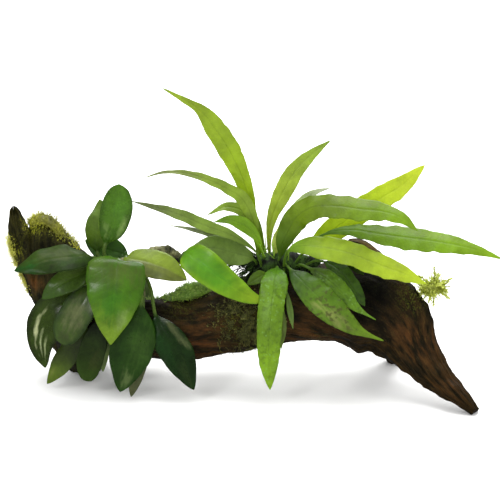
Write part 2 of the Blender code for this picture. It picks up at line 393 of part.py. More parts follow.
def main():
    """Builds every piece."""
    for obj in list(bpy.data.objects):
        bpy.data.objects.remove(obj, do_unlink=True)
    scene = bpy.context.scene
    scene.unit_settings.system = "METRIC"
    parts = bpy.data.collections.new(NAME)
    cutters = bpy.data.collections.new("cutters")
    scene.collection.children.link(parts)
    scene.collection.children.link(cutters)

    def cutter(name, rings):
        obj = loft(name, rings, cutters)
        obj.hide_render = True
        obj.display_type = "WIRE"
        return obj

    bpy.ops.mesh.primitive_cube_add(size=1, location=(0, 0, -0.05), scale=(0.6, 0.4, 0.1))
    floor = bpy.context.object
    floor.name = "floor_block"
    for group in list(floor.users_collection):
        group.objects.unlink(floor)
    cutters.objects.link(floor)
    floor.hide_render = True
    floor.display_type = "WIRE"

    stump = loft("driftwood_stump", limb_rings(STUMP, 15), parts, DARK_WOOD, 0.7)
    cut(stump, floor)
    stump_space = cutter("stump_space", limb_rings(STUMP, 15, grow=GAP))
    horn = loft("driftwood_horn", limb_rings(HORN, 10, sides=10), parts, RED_WOOD, 0.7)
    cut(horn, stump_space)
    trunk = loft("driftwood_trunk", limb_rings(MAIN, 13, 0.0, MAIN_FORK), parts, DARK_WOOD, 0.7)
    cut(trunk, stump_space)
    trunk_space = cutter("trunk_space", limb_rings(MAIN, 13, 0.0, MAIN_FORK, grow=GAP))
    leg_rings = limb_rings(MAIN, 13, MAIN_FORK, 1.0, begin_gap=GAP)
    leg = loft("driftwood_right_leg", leg_rings, parts, RED_WOOD, 0.6)
    cut(leg, floor)
    leg_space = cutter("leg_space", limb_rings(MAIN, 13, MAIN_FORK, 1.0, grow=GAP))
    shoulder = loft("driftwood_shoulder", limb_rings(SHOULDER, 6, sides=12), parts, DARK_WOOD, 0.7)
    foot = loft("driftwood_front_foot", limb_rings(FRONT_FOOT, 6, sides=12), parts, DARK_WOOD, 0.7)
    root = loft("driftwood_back_root", limb_rings(BACK_ROOT, 7, sides=12), parts, DARK_WOOD, 0.7)
    for piece in (shoulder, root):
        cut(piece, trunk_space)
        cut(piece, leg_space)
    cut(foot, trunk_space)
    cut(foot, stump_space)
    for piece in (foot, root):
        cut(piece, floor)

    horn_space = cutter("horn_space", limb_rings(HORN, 10, sides=10, grow=GAP))
    spaces = (stump_space, horn_space, trunk_space, leg_space)
    for name, spec, colour in MOSS:
        moss = lump("moss_" + name, spec, parts, colour)
        if name == "trunk_front":
            coat = cutter("moss_coat", limb_rings(MAIN, 13, 0.0, MAIN_FORK, grow=MOSS_COAT))
            cut(moss, coat, "INTERSECT")
        for space in spaces[:2] if name in ("stump_top", "horn_edge") else spaces[2:3]:
            cut(moss, space)
    star = tuft("moss_right_tuft", parts, (164, 174, 78))
    cut(star, leg_space)

    rings = limb_rings(ANUBIAS_RHIZOME, 12, sides=8)
    cut(loft("anubias_rhizome", rings, parts, (102, 112, 63)), stump_space)
    cut(loft("fern_rhizome", limb_rings(FERN_RHIZOME, 10, sides=8), parts, (48, 68, 24)), trunk_space)
    anubias_space = cutter("anubias_space", limb_rings(ANUBIAS_RHIZOME, 12, sides=8, grow=GAP))
    fern_space = cutter("fern_space", limb_rings(FERN_RHIZOME, 10, sides=8, grow=GAP))
    for name, points in ANUBIAS_ROOTS:
        strand = thin_root("anubias_root_" + name, points, parts)
        cut(strand, anubias_space)
        cut(strand, trunk_space)

    for name, *spec, colour in ANUBIAS_LEAVES:
        rings = leaf_rings(*spec, ANUBIAS_STALK, ANUBIAS_THICK)
        cut(loft("anubias_leaf_" + name, rings, parts, colour, 0.3), anubias_space)
    for name, *spec, colour in FERN_LEAVES:
        rings = leaf_rings(*spec, FERN_STALK, FERN_THICK)
        cut(loft("fern_leaf_" + name, rings, parts, colour, 0.4), fern_space)


main()
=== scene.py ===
"""Java fern and anubias on a dark driftwood root with moss, dressed for close viewing.

Leaves, limbs, roots and moss are surfaces over two parameters: a smooth path gives the place along the
piece and a closed cross-section is carried along it. The points are measured in a front view that looks
down on the object a little: squares across, squares down and the depth in millimetres, negative being
nearer. Sizes are in millimetres until a mesh is made.
"""
import sys

import logging
import math
from dataclasses import dataclass, field
from enum import Enum
from itertools import product

import bpy
import numpy as np
from numpy.typing import ArrayLike, NDArray
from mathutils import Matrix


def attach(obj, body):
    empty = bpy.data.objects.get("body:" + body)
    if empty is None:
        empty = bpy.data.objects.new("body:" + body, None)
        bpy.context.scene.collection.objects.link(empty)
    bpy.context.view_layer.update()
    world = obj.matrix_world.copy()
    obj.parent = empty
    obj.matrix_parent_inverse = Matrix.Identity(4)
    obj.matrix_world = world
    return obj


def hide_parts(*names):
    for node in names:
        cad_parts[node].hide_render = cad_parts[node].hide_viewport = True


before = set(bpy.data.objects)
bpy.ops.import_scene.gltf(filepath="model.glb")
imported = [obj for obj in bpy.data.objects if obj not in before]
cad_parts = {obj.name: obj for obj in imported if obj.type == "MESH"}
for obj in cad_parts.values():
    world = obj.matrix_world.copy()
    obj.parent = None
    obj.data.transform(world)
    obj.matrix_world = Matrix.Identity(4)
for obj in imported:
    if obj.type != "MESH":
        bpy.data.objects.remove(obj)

Array = NDArray[np.float64]
Colour = tuple[float, float, float]
Spot = tuple[float, float, float]

LOG = logging.getLogger("java_fern_on_driftwood")
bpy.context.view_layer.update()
BODY = "root"
MM = 0.001
SQUARE = 0.75          # one square of the measuring grid, in mm
VIEW_TILT = math.radians(18.0)
VIEW_REACH = 1600.0    # distance of the front view from the object
VIEW_HEIGHT = 109.4    # height of the grid's centre above the floor
GRID_CENTRE = 250.0
SHIFT = np.array((-2.8, -5.3, 0.0))    # puts the middle of the object over the origin, in mm
RIGHT = np.array((1.0, 0.0, 0.0))      # the front view's own directions
UP = np.array((0.0, math.sin(VIEW_TILT), math.cos(VIEW_TILT)))
BACK = np.array((0.0, -math.cos(VIEW_TILT), math.sin(VIEW_TILT)))
EYE = np.array((0.0, 0.0, VIEW_HEIGHT)) + VIEW_REACH * BACK
SENSOR = 36.0          # width of the camera's sensor in mm


def place(spots: ArrayLike) -> Array:
    """Points of the object from their places in the front view.

    Each point lies where the line of sight through its square meets the upright plane at its depth.

    Args:
        spots: rows of squares across, squares down and depth in mm.

    Returns:
        The points in mm.
    """
    spots = np.atleast_2d(np.asarray(spots, float))
    ray = (spots[:, :1] - GRID_CENTRE) * SQUARE * RIGHT + (GRID_CENTRE - spots[:, 1:2]) * SQUARE * UP
    ray = ray - VIEW_REACH * BACK
    return EYE + ray * (spots[:, 2:3] - EYE[1]) / ray[:, 1:2] + SHIFT


def squares(points: Array) -> Array:
    """Squares at which points are seen in the front view, the inverse of place.

    Args:
        points: places in mm, three coordinates last.

    Returns:
        Squares across and down for each point.
    """
    ray = points - SHIFT - EYE
    depth = -(ray @ BACK)
    seen = np.stack((ray @ RIGHT, -(ray @ UP)), axis=-1) * (VIEW_REACH / depth)[..., None]
    return GRID_CENTRE + seen / SQUARE


def unit(rows: Array) -> Array:
    """Rows scaled to length one."""
    return rows / np.linalg.norm(rows, axis=-1, keepdims=True)


def ease(value: Array | float, low: float, high: float) -> Array:
    """Smooth step from 0 at low to 1 at high: three squares less two cubes of the clipped share."""
    share = np.clip((value - low) / (high - low), 0, 1)
    return share * share * (3 - 2 * share)


def hermite(knots: Array, values: Array, at: Array) -> Array:
    """Cubic through values at knots, with the slope at each knot taken from its neighbours.

    Args:
        knots: rising positions.
        values: one row for each knot.
        at: where the curve is read.

    Returns:
        One row for each entry of at.
    """
    slopes = np.gradient(values, knots, axis=0)
    cell = np.clip(np.searchsorted(knots, at, side="right") - 1, 0, len(knots) - 2)
    wide = (knots[cell + 1] - knots[cell]).reshape(-1, *[1] * (values.ndim - 1))
    t = (at - knots[cell]).reshape(wide.shape) / wide
    return ((1 + 2 * t) * (1 - t) ** 2 * values[cell] + t * (1 - t) ** 2 * wide * slopes[cell]
            + t * t * (3 - 2 * t) * values[cell + 1] + t * t * (t - 1) * wide * slopes[cell + 1])


def curve(points: Array, shares: Array) -> Array:
    """Smooth curve through points.

    Args:
        points: rows of three coordinates, and of any numbers that change along the curve.
        shares: where it is read, as shares of its length.

    Returns:
        One row for each share.
    """
    steps = np.linalg.norm(np.diff(points[:, :3], axis=0), axis=1)
    knots = np.concatenate(([0.0], np.cumsum(steps)))
    return hermite(knots / knots[-1], points, np.asarray(shares, float))


def around(columns: int) -> Array:
    """Angles of a ring's columns, in the order that makes its faces point outwards."""
    return -np.arange(columns) * 2 * math.pi / columns


def dome(away: Array, reach: float, steepest: float = 0.995) -> Array:
    """Factor that rounds off an end as a quarter circle of the distance from it.

    Args:
        away: distances from the end.
        reach: distance at which the factor gets to 1.
        steepest: share of the quarter circle that is kept, so that the factor never gets to 0.

    Returns:
        A factor for each distance.
    """
    return np.sqrt(1 - np.clip(1 - away / reach, 0, steepest) ** 2)


def linear(colour: Colour) -> tuple[float, ...]:
    """A colour seen on a screen, 0 to 255, as the shader's linear values with full opacity."""
    shares = np.array(colour) / 255
    return (*np.where(shares <= 0.04045, shares / 12.92, ((shares + 0.055) / 1.055) ** 2.4), 1.0)


class Rumple:
    """Smooth random field in space that is the same in every run."""

    SIZE = 32       # corners along each side of the table
    OFFSET = 11.7   # keeps the cells of one layer off those of the next

    def __init__(self, seed: int) -> None:
        """Draws the random numbers that stand at the corners of the cells."""
        self.table = np.random.default_rng(seed).uniform(-1, 1, (self.SIZE,) * 3)

    def layer(self, spots: Array) -> Array:
        """The corners' numbers, blended over each cell with smooth steps.

        Args:
            spots: places in cells.

        Returns:
            One value for each place.
        """
        low = np.floor(spots).astype(int)
        share = spots - low
        share = share * share * (3 - 2 * share)
        total = np.zeros(spots.shape[:-1])
        for corner in product((0, 1), repeat=3):
            pick = (low + corner) % self.SIZE
            weight = np.where(np.array(corner) == 1, share, 1 - share).prod(-1)
            total += weight * self.table[pick[..., 0], pick[..., 1], pick[..., 2]]
        return total

    def at(self, points: Array, cell: ArrayLike, layers: int = 1) -> Array:
        """Sum of layers, each half as strong and twice as fine as the one before.

        Args:
            points: places with three coordinates.
            cell: size of the first layer's cells, one number or one for each coordinate.
            layers: how many layers are added.

        Returns:
            Values between about -1 and 1.
        """
        spots = points / np.asarray(cell, float)
        return sum(self.layer(spots * 2 ** n + self.OFFSET * n) * 0.5 ** n for n in range(layers))

    def waver(self, path: Array, cell: float, apart: float) -> Array:
        """Three unlike fields along a path, one for each direction, read at places that lie apart."""
        return np.stack([self.at(path + apart * k, cell) for k in range(3)], -1)


@dataclass
class Skin:
    """Points, faces and values for each point, which become one mesh."""

    points: Array
    quads: NDArray[np.int64]
    tris: NDArray[np.int64]
    values: dict[str, Array] = field(default_factory=dict)

    @classmethod
    def tubes(cls, rings: Array, values: dict[str, Array] | None = None) -> "Skin":
        """Closed tubes through rings, with a pole at the middle of each end.

        Args:
            rings: tubes x rows x columns x 3, the columns turning right-handed about the way ahead.
            values: arrays of the same shape, stored with the points.

        Returns:
            The skin of all the tubes.
        """
        count, rows, columns = rings.shape[:3]
        each = rows * columns + 2
        row, column = np.meshgrid(np.arange(rows - 1), np.arange(columns), indexing="ij")
        beside = (column + 1) % columns
        quads = np.stack((row * columns + column, row * columns + beside,
                          (row + 1) * columns + beside, (row + 1) * columns + column), -1).reshape(-1, 4)
        turn = np.arange(columns)
        after = (turn + 1) % columns
        last = (rows - 1) * columns
        start = np.stack((after, turn, np.full(columns, each - 2)), -1)
        end = np.stack((last + turn, last + after, np.full(columns, each - 1)), -1)
        base = (np.arange(count) * each)[:, None, None]

        def packed(grid: Array) -> Array:
            """The grid's points, then the two poles, tube after tube."""
            ends = grid[:, (0, -1)].mean(axis=2)
            return np.concatenate((grid.reshape(count, -1, 3), ends), axis=1).reshape(-1, 3)

        return cls(packed(rings), (quads + base).reshape(-1, 4),
                   (np.concatenate((start, end)) + base).reshape(-1, 3),
                   {name: packed(grid) for name, grid in (values or {}).items()})

    @classmethod
    def spikes(cls, corners: Array, values: dict[str, Array] | None = None) -> "Skin":
        """Slim closed spikes, each with three base corners and a tip.

        Args:
            corners: spikes x 4 x 3, the tip last, the base turning right-handed about the way to it.
            values: arrays of the same shape, stored with the points.

        Returns:
            The skin of all the spikes.
        """
        tris = np.array(((0, 2, 1), (0, 1, 3), (1, 2, 3), (2, 0, 3)))
        base = (np.arange(len(corners)) * 4)[:, None, None]
        return cls(corners.reshape(-1, 3), np.empty((0, 4), int), (tris + base).reshape(-1, 3),
                   {name: grid.reshape(-1, 3) for name, grid in (values or {}).items()})

    @classmethod
    def joined(cls, skins: "list[Skin]") -> "Skin":
        """One skin out of several.

        Args:
            skins: skins that carry the same values.

        Returns:
            The skin of them all.
        """
        starts = np.cumsum([0] + [len(skin.points) for skin in skins])
        return cls(np.concatenate([skin.points for skin in skins]),
                   np.concatenate([skin.quads + at for skin, at in zip(skins, starts)]),
                   np.concatenate([skin.tris + at for skin, at in zip(skins, starts)]),
                   {name: np.concatenate([skin.values[name] for skin in skins])
                    for name in skins[0].values})

    def mesh(self, name: str) -> bpy.types.Mesh:
        """The skin as a smooth mesh in metres.

        Args:
            name: name of the mesh.

        Returns:
            The mesh, with the values as vector attributes.
        """
        mesh = bpy.data.meshes.new(name)
        mesh.vertices.add(len(self.points))
        mesh.vertices.foreach_set("co", (self.points * MM).ravel())
        sizes = np.concatenate((np.full(len(self.quads), 4), np.full(len(self.tris), 3)))
        mesh.loops.add(int(sizes.sum()))
        mesh.loops.foreach_set("vertex_index", np.concatenate((self.quads.ravel(), self.tris.ravel())))
        mesh.polygons.add(len(sizes))
        mesh.polygons.foreach_set("loop_start", np.cumsum(sizes) - sizes)
        mesh.polygons.foreach_set("use_smooth", np.ones(len(sizes), bool))
        for key, rows in self.values.items():
            mesh.attributes.new(key, "FLOAT_VECTOR", "POINT").data.foreach_set("vector", rows.ravel())
        mesh.update(calc_edges=True)
        mesh.validate()
        return mesh


def add_piece(name: str, node: str, skin: Skin, material: bpy.types.Material) -> None:
    """Puts a piece into the scene in place of a CAD node.

    Args:
        name: the piece's name.
        node: the CAD node that it stands for, which it hides.
        skin: its surface, in place.
        material: its finish.
    """
    mesh = skin.mesh(name)
    mesh.materials.append(material)
    piece = bpy.data.objects.new(name, mesh)
    bpy.context.scene.collection.objects.link(piece)
    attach(piece, BODY)
    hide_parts(node)
    LOG.info("%s: %d faces", name, len(mesh.polygons))


class Wire:
    """An output of a material's node. Arithmetic on it adds Math nodes."""

    def __init__(self, recipe: "Recipe", socket: bpy.types.NodeSocket) -> None:
        """Remembers the recipe that the output belongs to."""
        self.recipe, self.socket = recipe, socket

    def __add__(self, other: "Wire | float") -> "Wire":
        """Sum."""
        return self.recipe.math("ADD", self, other)

    def __sub__(self, other: "Wire | float") -> "Wire":
        """Difference."""
        return self.recipe.math("SUBTRACT", self, other)

    def __rsub__(self, other: float) -> "Wire":
        """A number less this value."""
        return self.recipe.math("SUBTRACT", other, self)

    def __mul__(self, other: "Wire | float") -> "Wire":
        """Product."""
        return self.recipe.math("MULTIPLY", self, other)

    def __truediv__(self, other: "Wire | float") -> "Wire":
        """Quotient."""
        return self.recipe.math("DIVIDE", self, other)

    def __abs__(self) -> "Wire":
        """Size without its sign."""
        return self.recipe.math("ABSOLUTE", self)

    __radd__, __rmul__ = __add__, __mul__


class Recipe:
    """One material, made node by node."""

    def __init__(self, name: str) -> None:
        """Starts a material with no nodes but the output.

        Args:
            name: name of the material.
        """
        self.material = bpy.data.materials.new(name)
        self.material.use_nodes = True
        self.tree = self.material.node_tree
        self.tree.nodes.clear()
        self.end = self.tree.nodes.new("ShaderNodeOutputMaterial")

    def node(self, kind: str, settings: dict[str, object] | None = None,
             inputs: dict[str | int, object] | None = None, output: str | int = 0) -> Wire:
        """Adds one node.

        Args:
            kind: the node's type without its first word.
            settings: its properties, set first.
            inputs: a value or a wire for each socket, by name, identifier or number.
            output: which output is returned.

        Returns:
            The chosen output.
        """
        made = self.tree.nodes.new("ShaderNode" + kind)
        for key, value in (settings or {}).items():
            setattr(made, key, value)
        for key, value in (inputs or {}).items():
            socket = self.pick(made.inputs, key)
            if isinstance(value, Wire):
                self.tree.links.new(value.socket, socket)
            else:
                socket.default_value = value
        return Wire(self, self.pick(made.outputs, output))

    @staticmethod
    def pick(sockets: bpy.types.bpy_prop_collection, key: str | int) -> bpy.types.NodeSocket:
        """One socket of a node.

        Args:
            sockets: the node's inputs or outputs.
            key: the socket's number, identifier or name.

        Returns:
            The socket.
        """
        if isinstance(key, int):
            return sockets[key]
        return next((s for s in sockets if s.identifier == key), None) or sockets[key]

    def math(self, operation: str, *values: Wire | float) -> Wire:
        """One Math node."""
        return self.node("Math", {"operation": operation}, dict(enumerate(values)))

    def ease(self, value: Wire, low: float, high: float) -> Wire:
        """Smooth step from 0 at low to 1 at high."""
        return self.node("MapRange", {"interpolation_type": "SMOOTHSTEP"},
                         {"Value": value, "From Min": low, "From Max": high})

    def split(self, attribute: str) -> tuple[Wire, Wire, Wire]:
        """The three numbers of a piece's own attribute."""
        apart = self.node("SeparateXYZ", None, {0: self.attribute(attribute)}).socket.node
        return tuple(Wire(self, socket) for socket in apart.outputs)

    def attribute(self, name: str, scale: Spot = (1, 1, 1)) -> Wire:
        """A piece's own attribute as a vector, stretched along its axes."""
        read = self.node("Attribute", {"attribute_name": name}, output="Vector")
        return self.node("VectorMath", {"operation": "MULTIPLY"}, {0: read, 1: scale})

    def noise(self, vector: Wire, scale: float, detail: float = 2.0) -> Wire:
        """Cloudy noise from 0 to 1."""
        return self.node("TexNoise", None, {"Vector": vector, "Scale": scale, "Detail": detail})

    def clouds(self, scale: float, detail: float) -> Wire:
        """Cloudy noise in the object's own space, with its scale per metre."""
        return self.noise(self.node("TexCoord", output="Object"), scale, detail)

    def mix(self, share: Wire | float, a: Wire | Colour, b: Wire | Colour, blend: str = "MIX") -> Wire:
        """Colour a that turns into colour b, or into a blend of both.

        Args:
            share: how far it has turned, from 0 to 1.
            a: the first colour.
            b: the second.
            blend: how the two are blended.

        Returns:
            The colour.
        """
        ends = {key: value if isinstance(value, Wire) else linear(value)
                for key, value in (("A_Color", a), ("B_Color", b))}
        return self.node("Mix", {"data_type": "RGBA", "blend_type": blend},
                         {"Factor_Float": share, **ends}, "Result_Color")

    def shade(self, colour: Wire | Colour, strength: Wire) -> Wire:
        """A colour made darker or brighter by a number."""
        return self.mix(1.0, colour, strength, "MULTIPLY")

    def bump(self, height: Wire, depth: float) -> Wire:
        """Surface relief from a height, with its depth in mm."""
        return self.node("Bump", None, {"Height": height, "Distance": depth * MM, "Strength": 1.0})

    def finish(self, surface: dict[str, object], glow: float = 0.0,
               glow_colour: Colour = (0, 0, 0)) -> bpy.types.Material:
        """Adds the shader and ends the material.

        Args:
            surface: inputs of the main shader.
            glow: share of the light that passes through a thin leaf.
            glow_colour: colour of that light.

        Returns:
            The material.
        """
        shader = self.node("BsdfPrincipled", None, surface)
        if glow:
            through = self.node("BsdfTranslucent", None, {"Color": linear(glow_colour)})
            shader = self.node("MixShader", None, {0: glow, 1: shader, 2: through})
        self.tree.links.new(shader.socket, self.end.inputs["Surface"])
        return self.material


class Outline(Enum):
    """Places along a blade, from its base to its tip, and the half width there as a share of the widest."""

    BROAD = ((0, 0.3), (0.07, 0.8), (0.2, 1), (0.36, 0.96), (0.54, 0.8), (0.72, 0.56), (0.88, 0.27),
             (1, 0.03))
    OVAL = ((0, 0.12), (0.12, 0.6), (0.28, 0.93), (0.46, 1), (0.64, 0.88), (0.8, 0.6), (0.93, 0.28),
            (1, 0.04))
    BLUNT = ((0, 0.2), (0.12, 0.66), (0.3, 0.95), (0.52, 1), (0.75, 0.92), (0.9, 0.7), (1, 0.35))
    LANCE = ((0, 0.1), (0.12, 0.42), (0.28, 0.8), (0.46, 1), (0.62, 0.92), (0.76, 0.66), (0.89, 0.33),
             (1, 0.05))
    TALL = ((0, 0.16), (0.12, 0.34), (0.26, 0.54), (0.42, 0.82), (0.57, 1), (0.7, 0.9), (0.81, 0.46),
            (0.91, 0.24), (1, 0.06))
    TAIL = ((0, 0.2), (0.1, 0.62), (0.26, 0.96), (0.42, 1), (0.57, 0.84), (0.71, 0.52), (0.84, 0.2),
            (1, 0.05))
    TONGUE = ((0, 0.2), (0.06, 0.62), (0.14, 0.95), (0.36, 1), (0.6, 0.96), (0.77, 0.8), (0.9, 0.46),
              (1, 0.06))
    LONG = ((0, 0.14), (0.14, 0.3), (0.3, 0.6), (0.46, 0.92), (0.58, 1), (0.74, 0.78), (0.89, 0.38),
            (1, 0.05))
    ARCH = ((0, 0.16), (0.12, 0.4), (0.26, 0.82), (0.38, 1), (0.52, 0.86), (0.68, 0.62), (0.84, 0.34),
            (1, 0.05))
    ROUND = ((0, 0.12), (0.13, 0.6), (0.3, 0.9), (0.5, 1), (0.68, 0.98), (0.83, 0.8), (0.94, 0.48), (1, 0.1))
    STRAP = ((0, 0.14), (0.1, 0.62), (0.24, 0.94), (0.42, 1), (0.6, 0.96), (0.77, 0.8), (0.9, 0.46),
             (1, 0.06))

    def half(self, share: Array) -> Array:
        """Share of the widest half width at a share of the blade's length, never quite nothing."""
        knots, parts = np.array(self.value).T
        return np.maximum(hermite(knots, parts, share), 0.02)


@dataclass(frozen=True)
class TintOrSheen:
    """A soft oval of another colour on a blade.

    Attributes:
        across: its middle, from -1 at the left edge to 1 at the right edge, looking from base to tip.
        along: its middle, from 0 at the base to 1 at the tip.
        wide: half its width, as a share of half the blade's width.
        long: half its length, as a share of the blade's length.
        colour: its colour, on some leaves a tint of the leaf's own and on glossy leaves a painted highlight
            or reflection.
        strength: how much of the blade's own colour it covers.
    """

    across: float
    along: float
    wide: float
    long: float
    colour: Colour
    strength: float

    def cover(self, recipe: Recipe, across: Wire, along: Wire, clouds: Wire) -> Wire:
        """Strength times a smooth step of the distance from its middle, made uneven by clouds.

        Args:
            recipe: the material that it is added to.
            across: place across the blade.
            along: place along the blade.
            clouds: noise from 0 to 1.

        Returns:
            How much of the blade's own colour is covered.
        """
        aside = abs((across - self.across) / self.wide)
        away = abs((along - self.along) / self.long)
        reach = recipe.math("SQRT", aside * aside + away * away) + (clouds - 0.5) * 2.0
        return recipe.ease(reach, 1.3, 0.0) * self.strength


SPOT_BROWN, DOT_GREEN = (74, 72, 26), (132, 180, 92)


@dataclass(frozen=True)
class LeafFinish:
    """Colours of one leaf, 0 to 255, and how it takes the light.

    Attributes:
        colour: the middle of the blade.
        tip: the colour that it turns to at its end, if it does.
        rim: the colour along its edges, if it differs.
        half: the colour of the left half, looking from base to tip, if it differs: painted light or shade on
            that half of a folded blade.
        base: the colour near the stalk, if it differs.
        glow: share of the light that passes through.
        rough: roughness of the upper side.
        mottle: strength of darker blotches.
        spots: strength of brown spots towards the middle.
        dots: height of the round spore dots, in mm.
        wet: how strongly it mirrors, as a share of its kind's.
        patches: soft ovals of other colours, tints of the leaf and painted highlights and reflections.
    """

    colour: Colour
    tip: Colour | None = None
    rim: Colour | None = None
    half: Colour | None = None
    base: Colour | None = None
    glow: float | None = None
    rough: float | None = None
    mottle: float = 0.12
    spots: float = 0.0
    dots: float = 0.0
    wet: float = 1.0
    patches: tuple[TintOrSheen, ...] = ()

    def material(self, name: str, kind: "LeafKind") -> bpy.types.Material:
        """The leaf's finish.

        Side veins are stripes of the distance along the leaf less a share of the distance from its
        midrib. A net of cells lies between them, clouds a few millimetres wide vary the colour, and
        blotches darken it. Scales of the noises are per mm of the leaf's skin.

        Args:
            name: name of the material.
            kind: the plant that the leaf belongs to.

        Returns:
            The material.
        """
        recipe = Recipe(name)
        across, along, under = recipe.split("leaf")
        aside, reach, _ = recipe.split("skin")
        skin = recipe.attribute("skin")
        clouds = recipe.noise(skin, 0.12, 3.0)
        grain = recipe.noise(skin, 0.9)
        streaks = recipe.noise(recipe.attribute("skin", (1, 0.22, 1)), 0.45)
        # Painted light and shade: the left half of a folded blade takes the half colour, lighter where lit
        # and darker where shaded.
        colour = recipe.mix(recipe.ease(across, 0.15, -0.15), self.colour, self.half or self.colour)
        uneven = along + clouds * 0.1
        if self.base:
            colour = recipe.mix(recipe.ease(uneven, 0.4, 0.05), colour, self.base)
        if self.tip:
            colour = recipe.mix(recipe.ease(uneven, 0.45, 1.0), colour, self.tip)
        # Soft ovals: tints of the leaf, and painted highlights and reflections, their edges broken into
        # streaks along the blade.
        for patch in self.patches:
            cover = patch.cover(recipe, across, along, clouds + streaks - 0.5)
            colour = recipe.mix(cover, colour, patch.colour)
        if self.rim:
            colour = recipe.mix(recipe.ease(abs(across), 0.6, 1.0), colour, self.rim)
        stripe = (reach - abs(aside) * kind.vein_slant + clouds * kind.vein_gap * 0.9) / kind.vein_gap
        vein = recipe.ease(abs(recipe.math("FRACT", stripe) - 0.5), 0.3, 0.5) * grain
        midrib = recipe.ease(abs(aside), kind.midrib, 0.0) * recipe.ease(along, 1.0, 0.6)
        net = recipe.node("TexVoronoi", {"feature": "DISTANCE_TO_EDGE"},
                          {"Vector": skin, "Scale": kind.net_scale})
        cells = recipe.ease(net, 0.0, 0.3)
        blots = recipe.noise(skin, 0.3, 3.0)
        blotch = recipe.ease(blots, 0.5, 0.68)
        wide = recipe.ease(recipe.noise(skin, 0.07), 0.35, 0.65)
        tone = 0.62 + clouds * 0.42 + wide * 0.26 + grain * 0.12
        tone = tone + vein * kind.vein_light + midrib * kind.midrib_light
        tone = (tone + cells * kind.net_light) * (1 - blotch * self.mottle)
        colour = recipe.shade(colour, tone)
        if self.spots:
            middle = recipe.ease(abs(along - 0.5), 0.32, 0.1)
            colour = recipe.mix(recipe.ease(blots, 0.54, 0.62) * middle * self.spots, colour, SPOT_BROWN)
        height = vein * -kind.vein_height + grain * 0.25 + cells * kind.net_height + clouds * 1.2
        if self.dots:
            rounds = recipe.node("TexVoronoi", {"feature": "F1"}, {"Vector": skin, "Scale": 0.42})
            height = height + recipe.ease(rounds, 0.42, 0.1) * (self.dots / kind.relief)
            pale = recipe.ease(rounds + grain * 0.3, 0.6, 0.3) * recipe.ease(clouds, 0.4, 0.6)
            colour = recipe.mix(pale * 0.35, colour, DOT_GREEN)
        colour = recipe.mix(under * kind.under_share, colour, kind.under_colour)
        colour = recipe.mix(recipe.ease(along, 0.03, -0.12), colour, kind.stalk_colour)
        return recipe.finish({
            "Base Color": colour, "Roughness": (self.rough or kind.rough) + clouds * 0.16 + under * 0.15,
            "Normal": recipe.bump(height, kind.relief), "Coat Weight": kind.coat * self.wet,
            "Coat Roughness": 0.12, "Specular IOR Level": kind.shine * self.wet,
        }, kind.glow if self.glow is None else self.glow, self.colour)


@dataclass(frozen=True)
class LeafKind:
    """What the leaves of one plant share. Lengths are in mm."""

    plant: str
    stalk_radius: float
    half_thickness: float
    wave: float            # how far the edges swing up and down
    wave_length: float
    fray: float            # unevenness of the outline, as a share of the half width
    groove: float          # depth of the midrib's groove on the upper side
    rib: float             # height of the midrib below
    midrib: float          # half width of the midrib
    midrib_light: float
    vein_gap: float
    vein_slant: float
    vein_light: float
    vein_height: float     # how far the side veins lie below the rest
    net_scale: float
    net_light: float
    net_height: float
    relief: float
    rough: float
    coat: float
    shine: float
    glow: float
    under_share: float
    under_colour: Colour
    stalk_colour: Colour


ANUBIAS = LeafKind(
    "anubias", stalk_radius=1.3, half_thickness=0.6, wave=0.8, wave_length=30.0, fray=0.02, groove=0.22,
    rib=0.7, midrib=1.0, midrib_light=0.08, vein_gap=5.5, vein_slant=0.6, vein_light=0.16, vein_height=0.25,
    net_scale=0.35, net_light=0.03, net_height=0.08, relief=0.25, rough=0.28, coat=0.15, shine=0.35,
    glow=0.06, under_share=0.5, under_colour=(104, 126, 66), stalk_colour=(70, 92, 34))
FERN = LeafKind(
    "fern", stalk_radius=1.0, half_thickness=0.5, wave=0.6, wave_length=17.0, fray=0.075, groove=0.3,
    rib=0.6, midrib=0.7, midrib_light=-0.16, vein_gap=6.5, vein_slant=0.45, vein_light=0.1, vein_height=0.3,
    net_scale=0.45, net_light=0.06, net_height=0.22, relief=0.3, rough=0.36, coat=0.06, shine=0.35,
    glow=0.35, under_share=0.4, under_colour=(138, 164, 66), stalk_colour=(84, 116, 34))


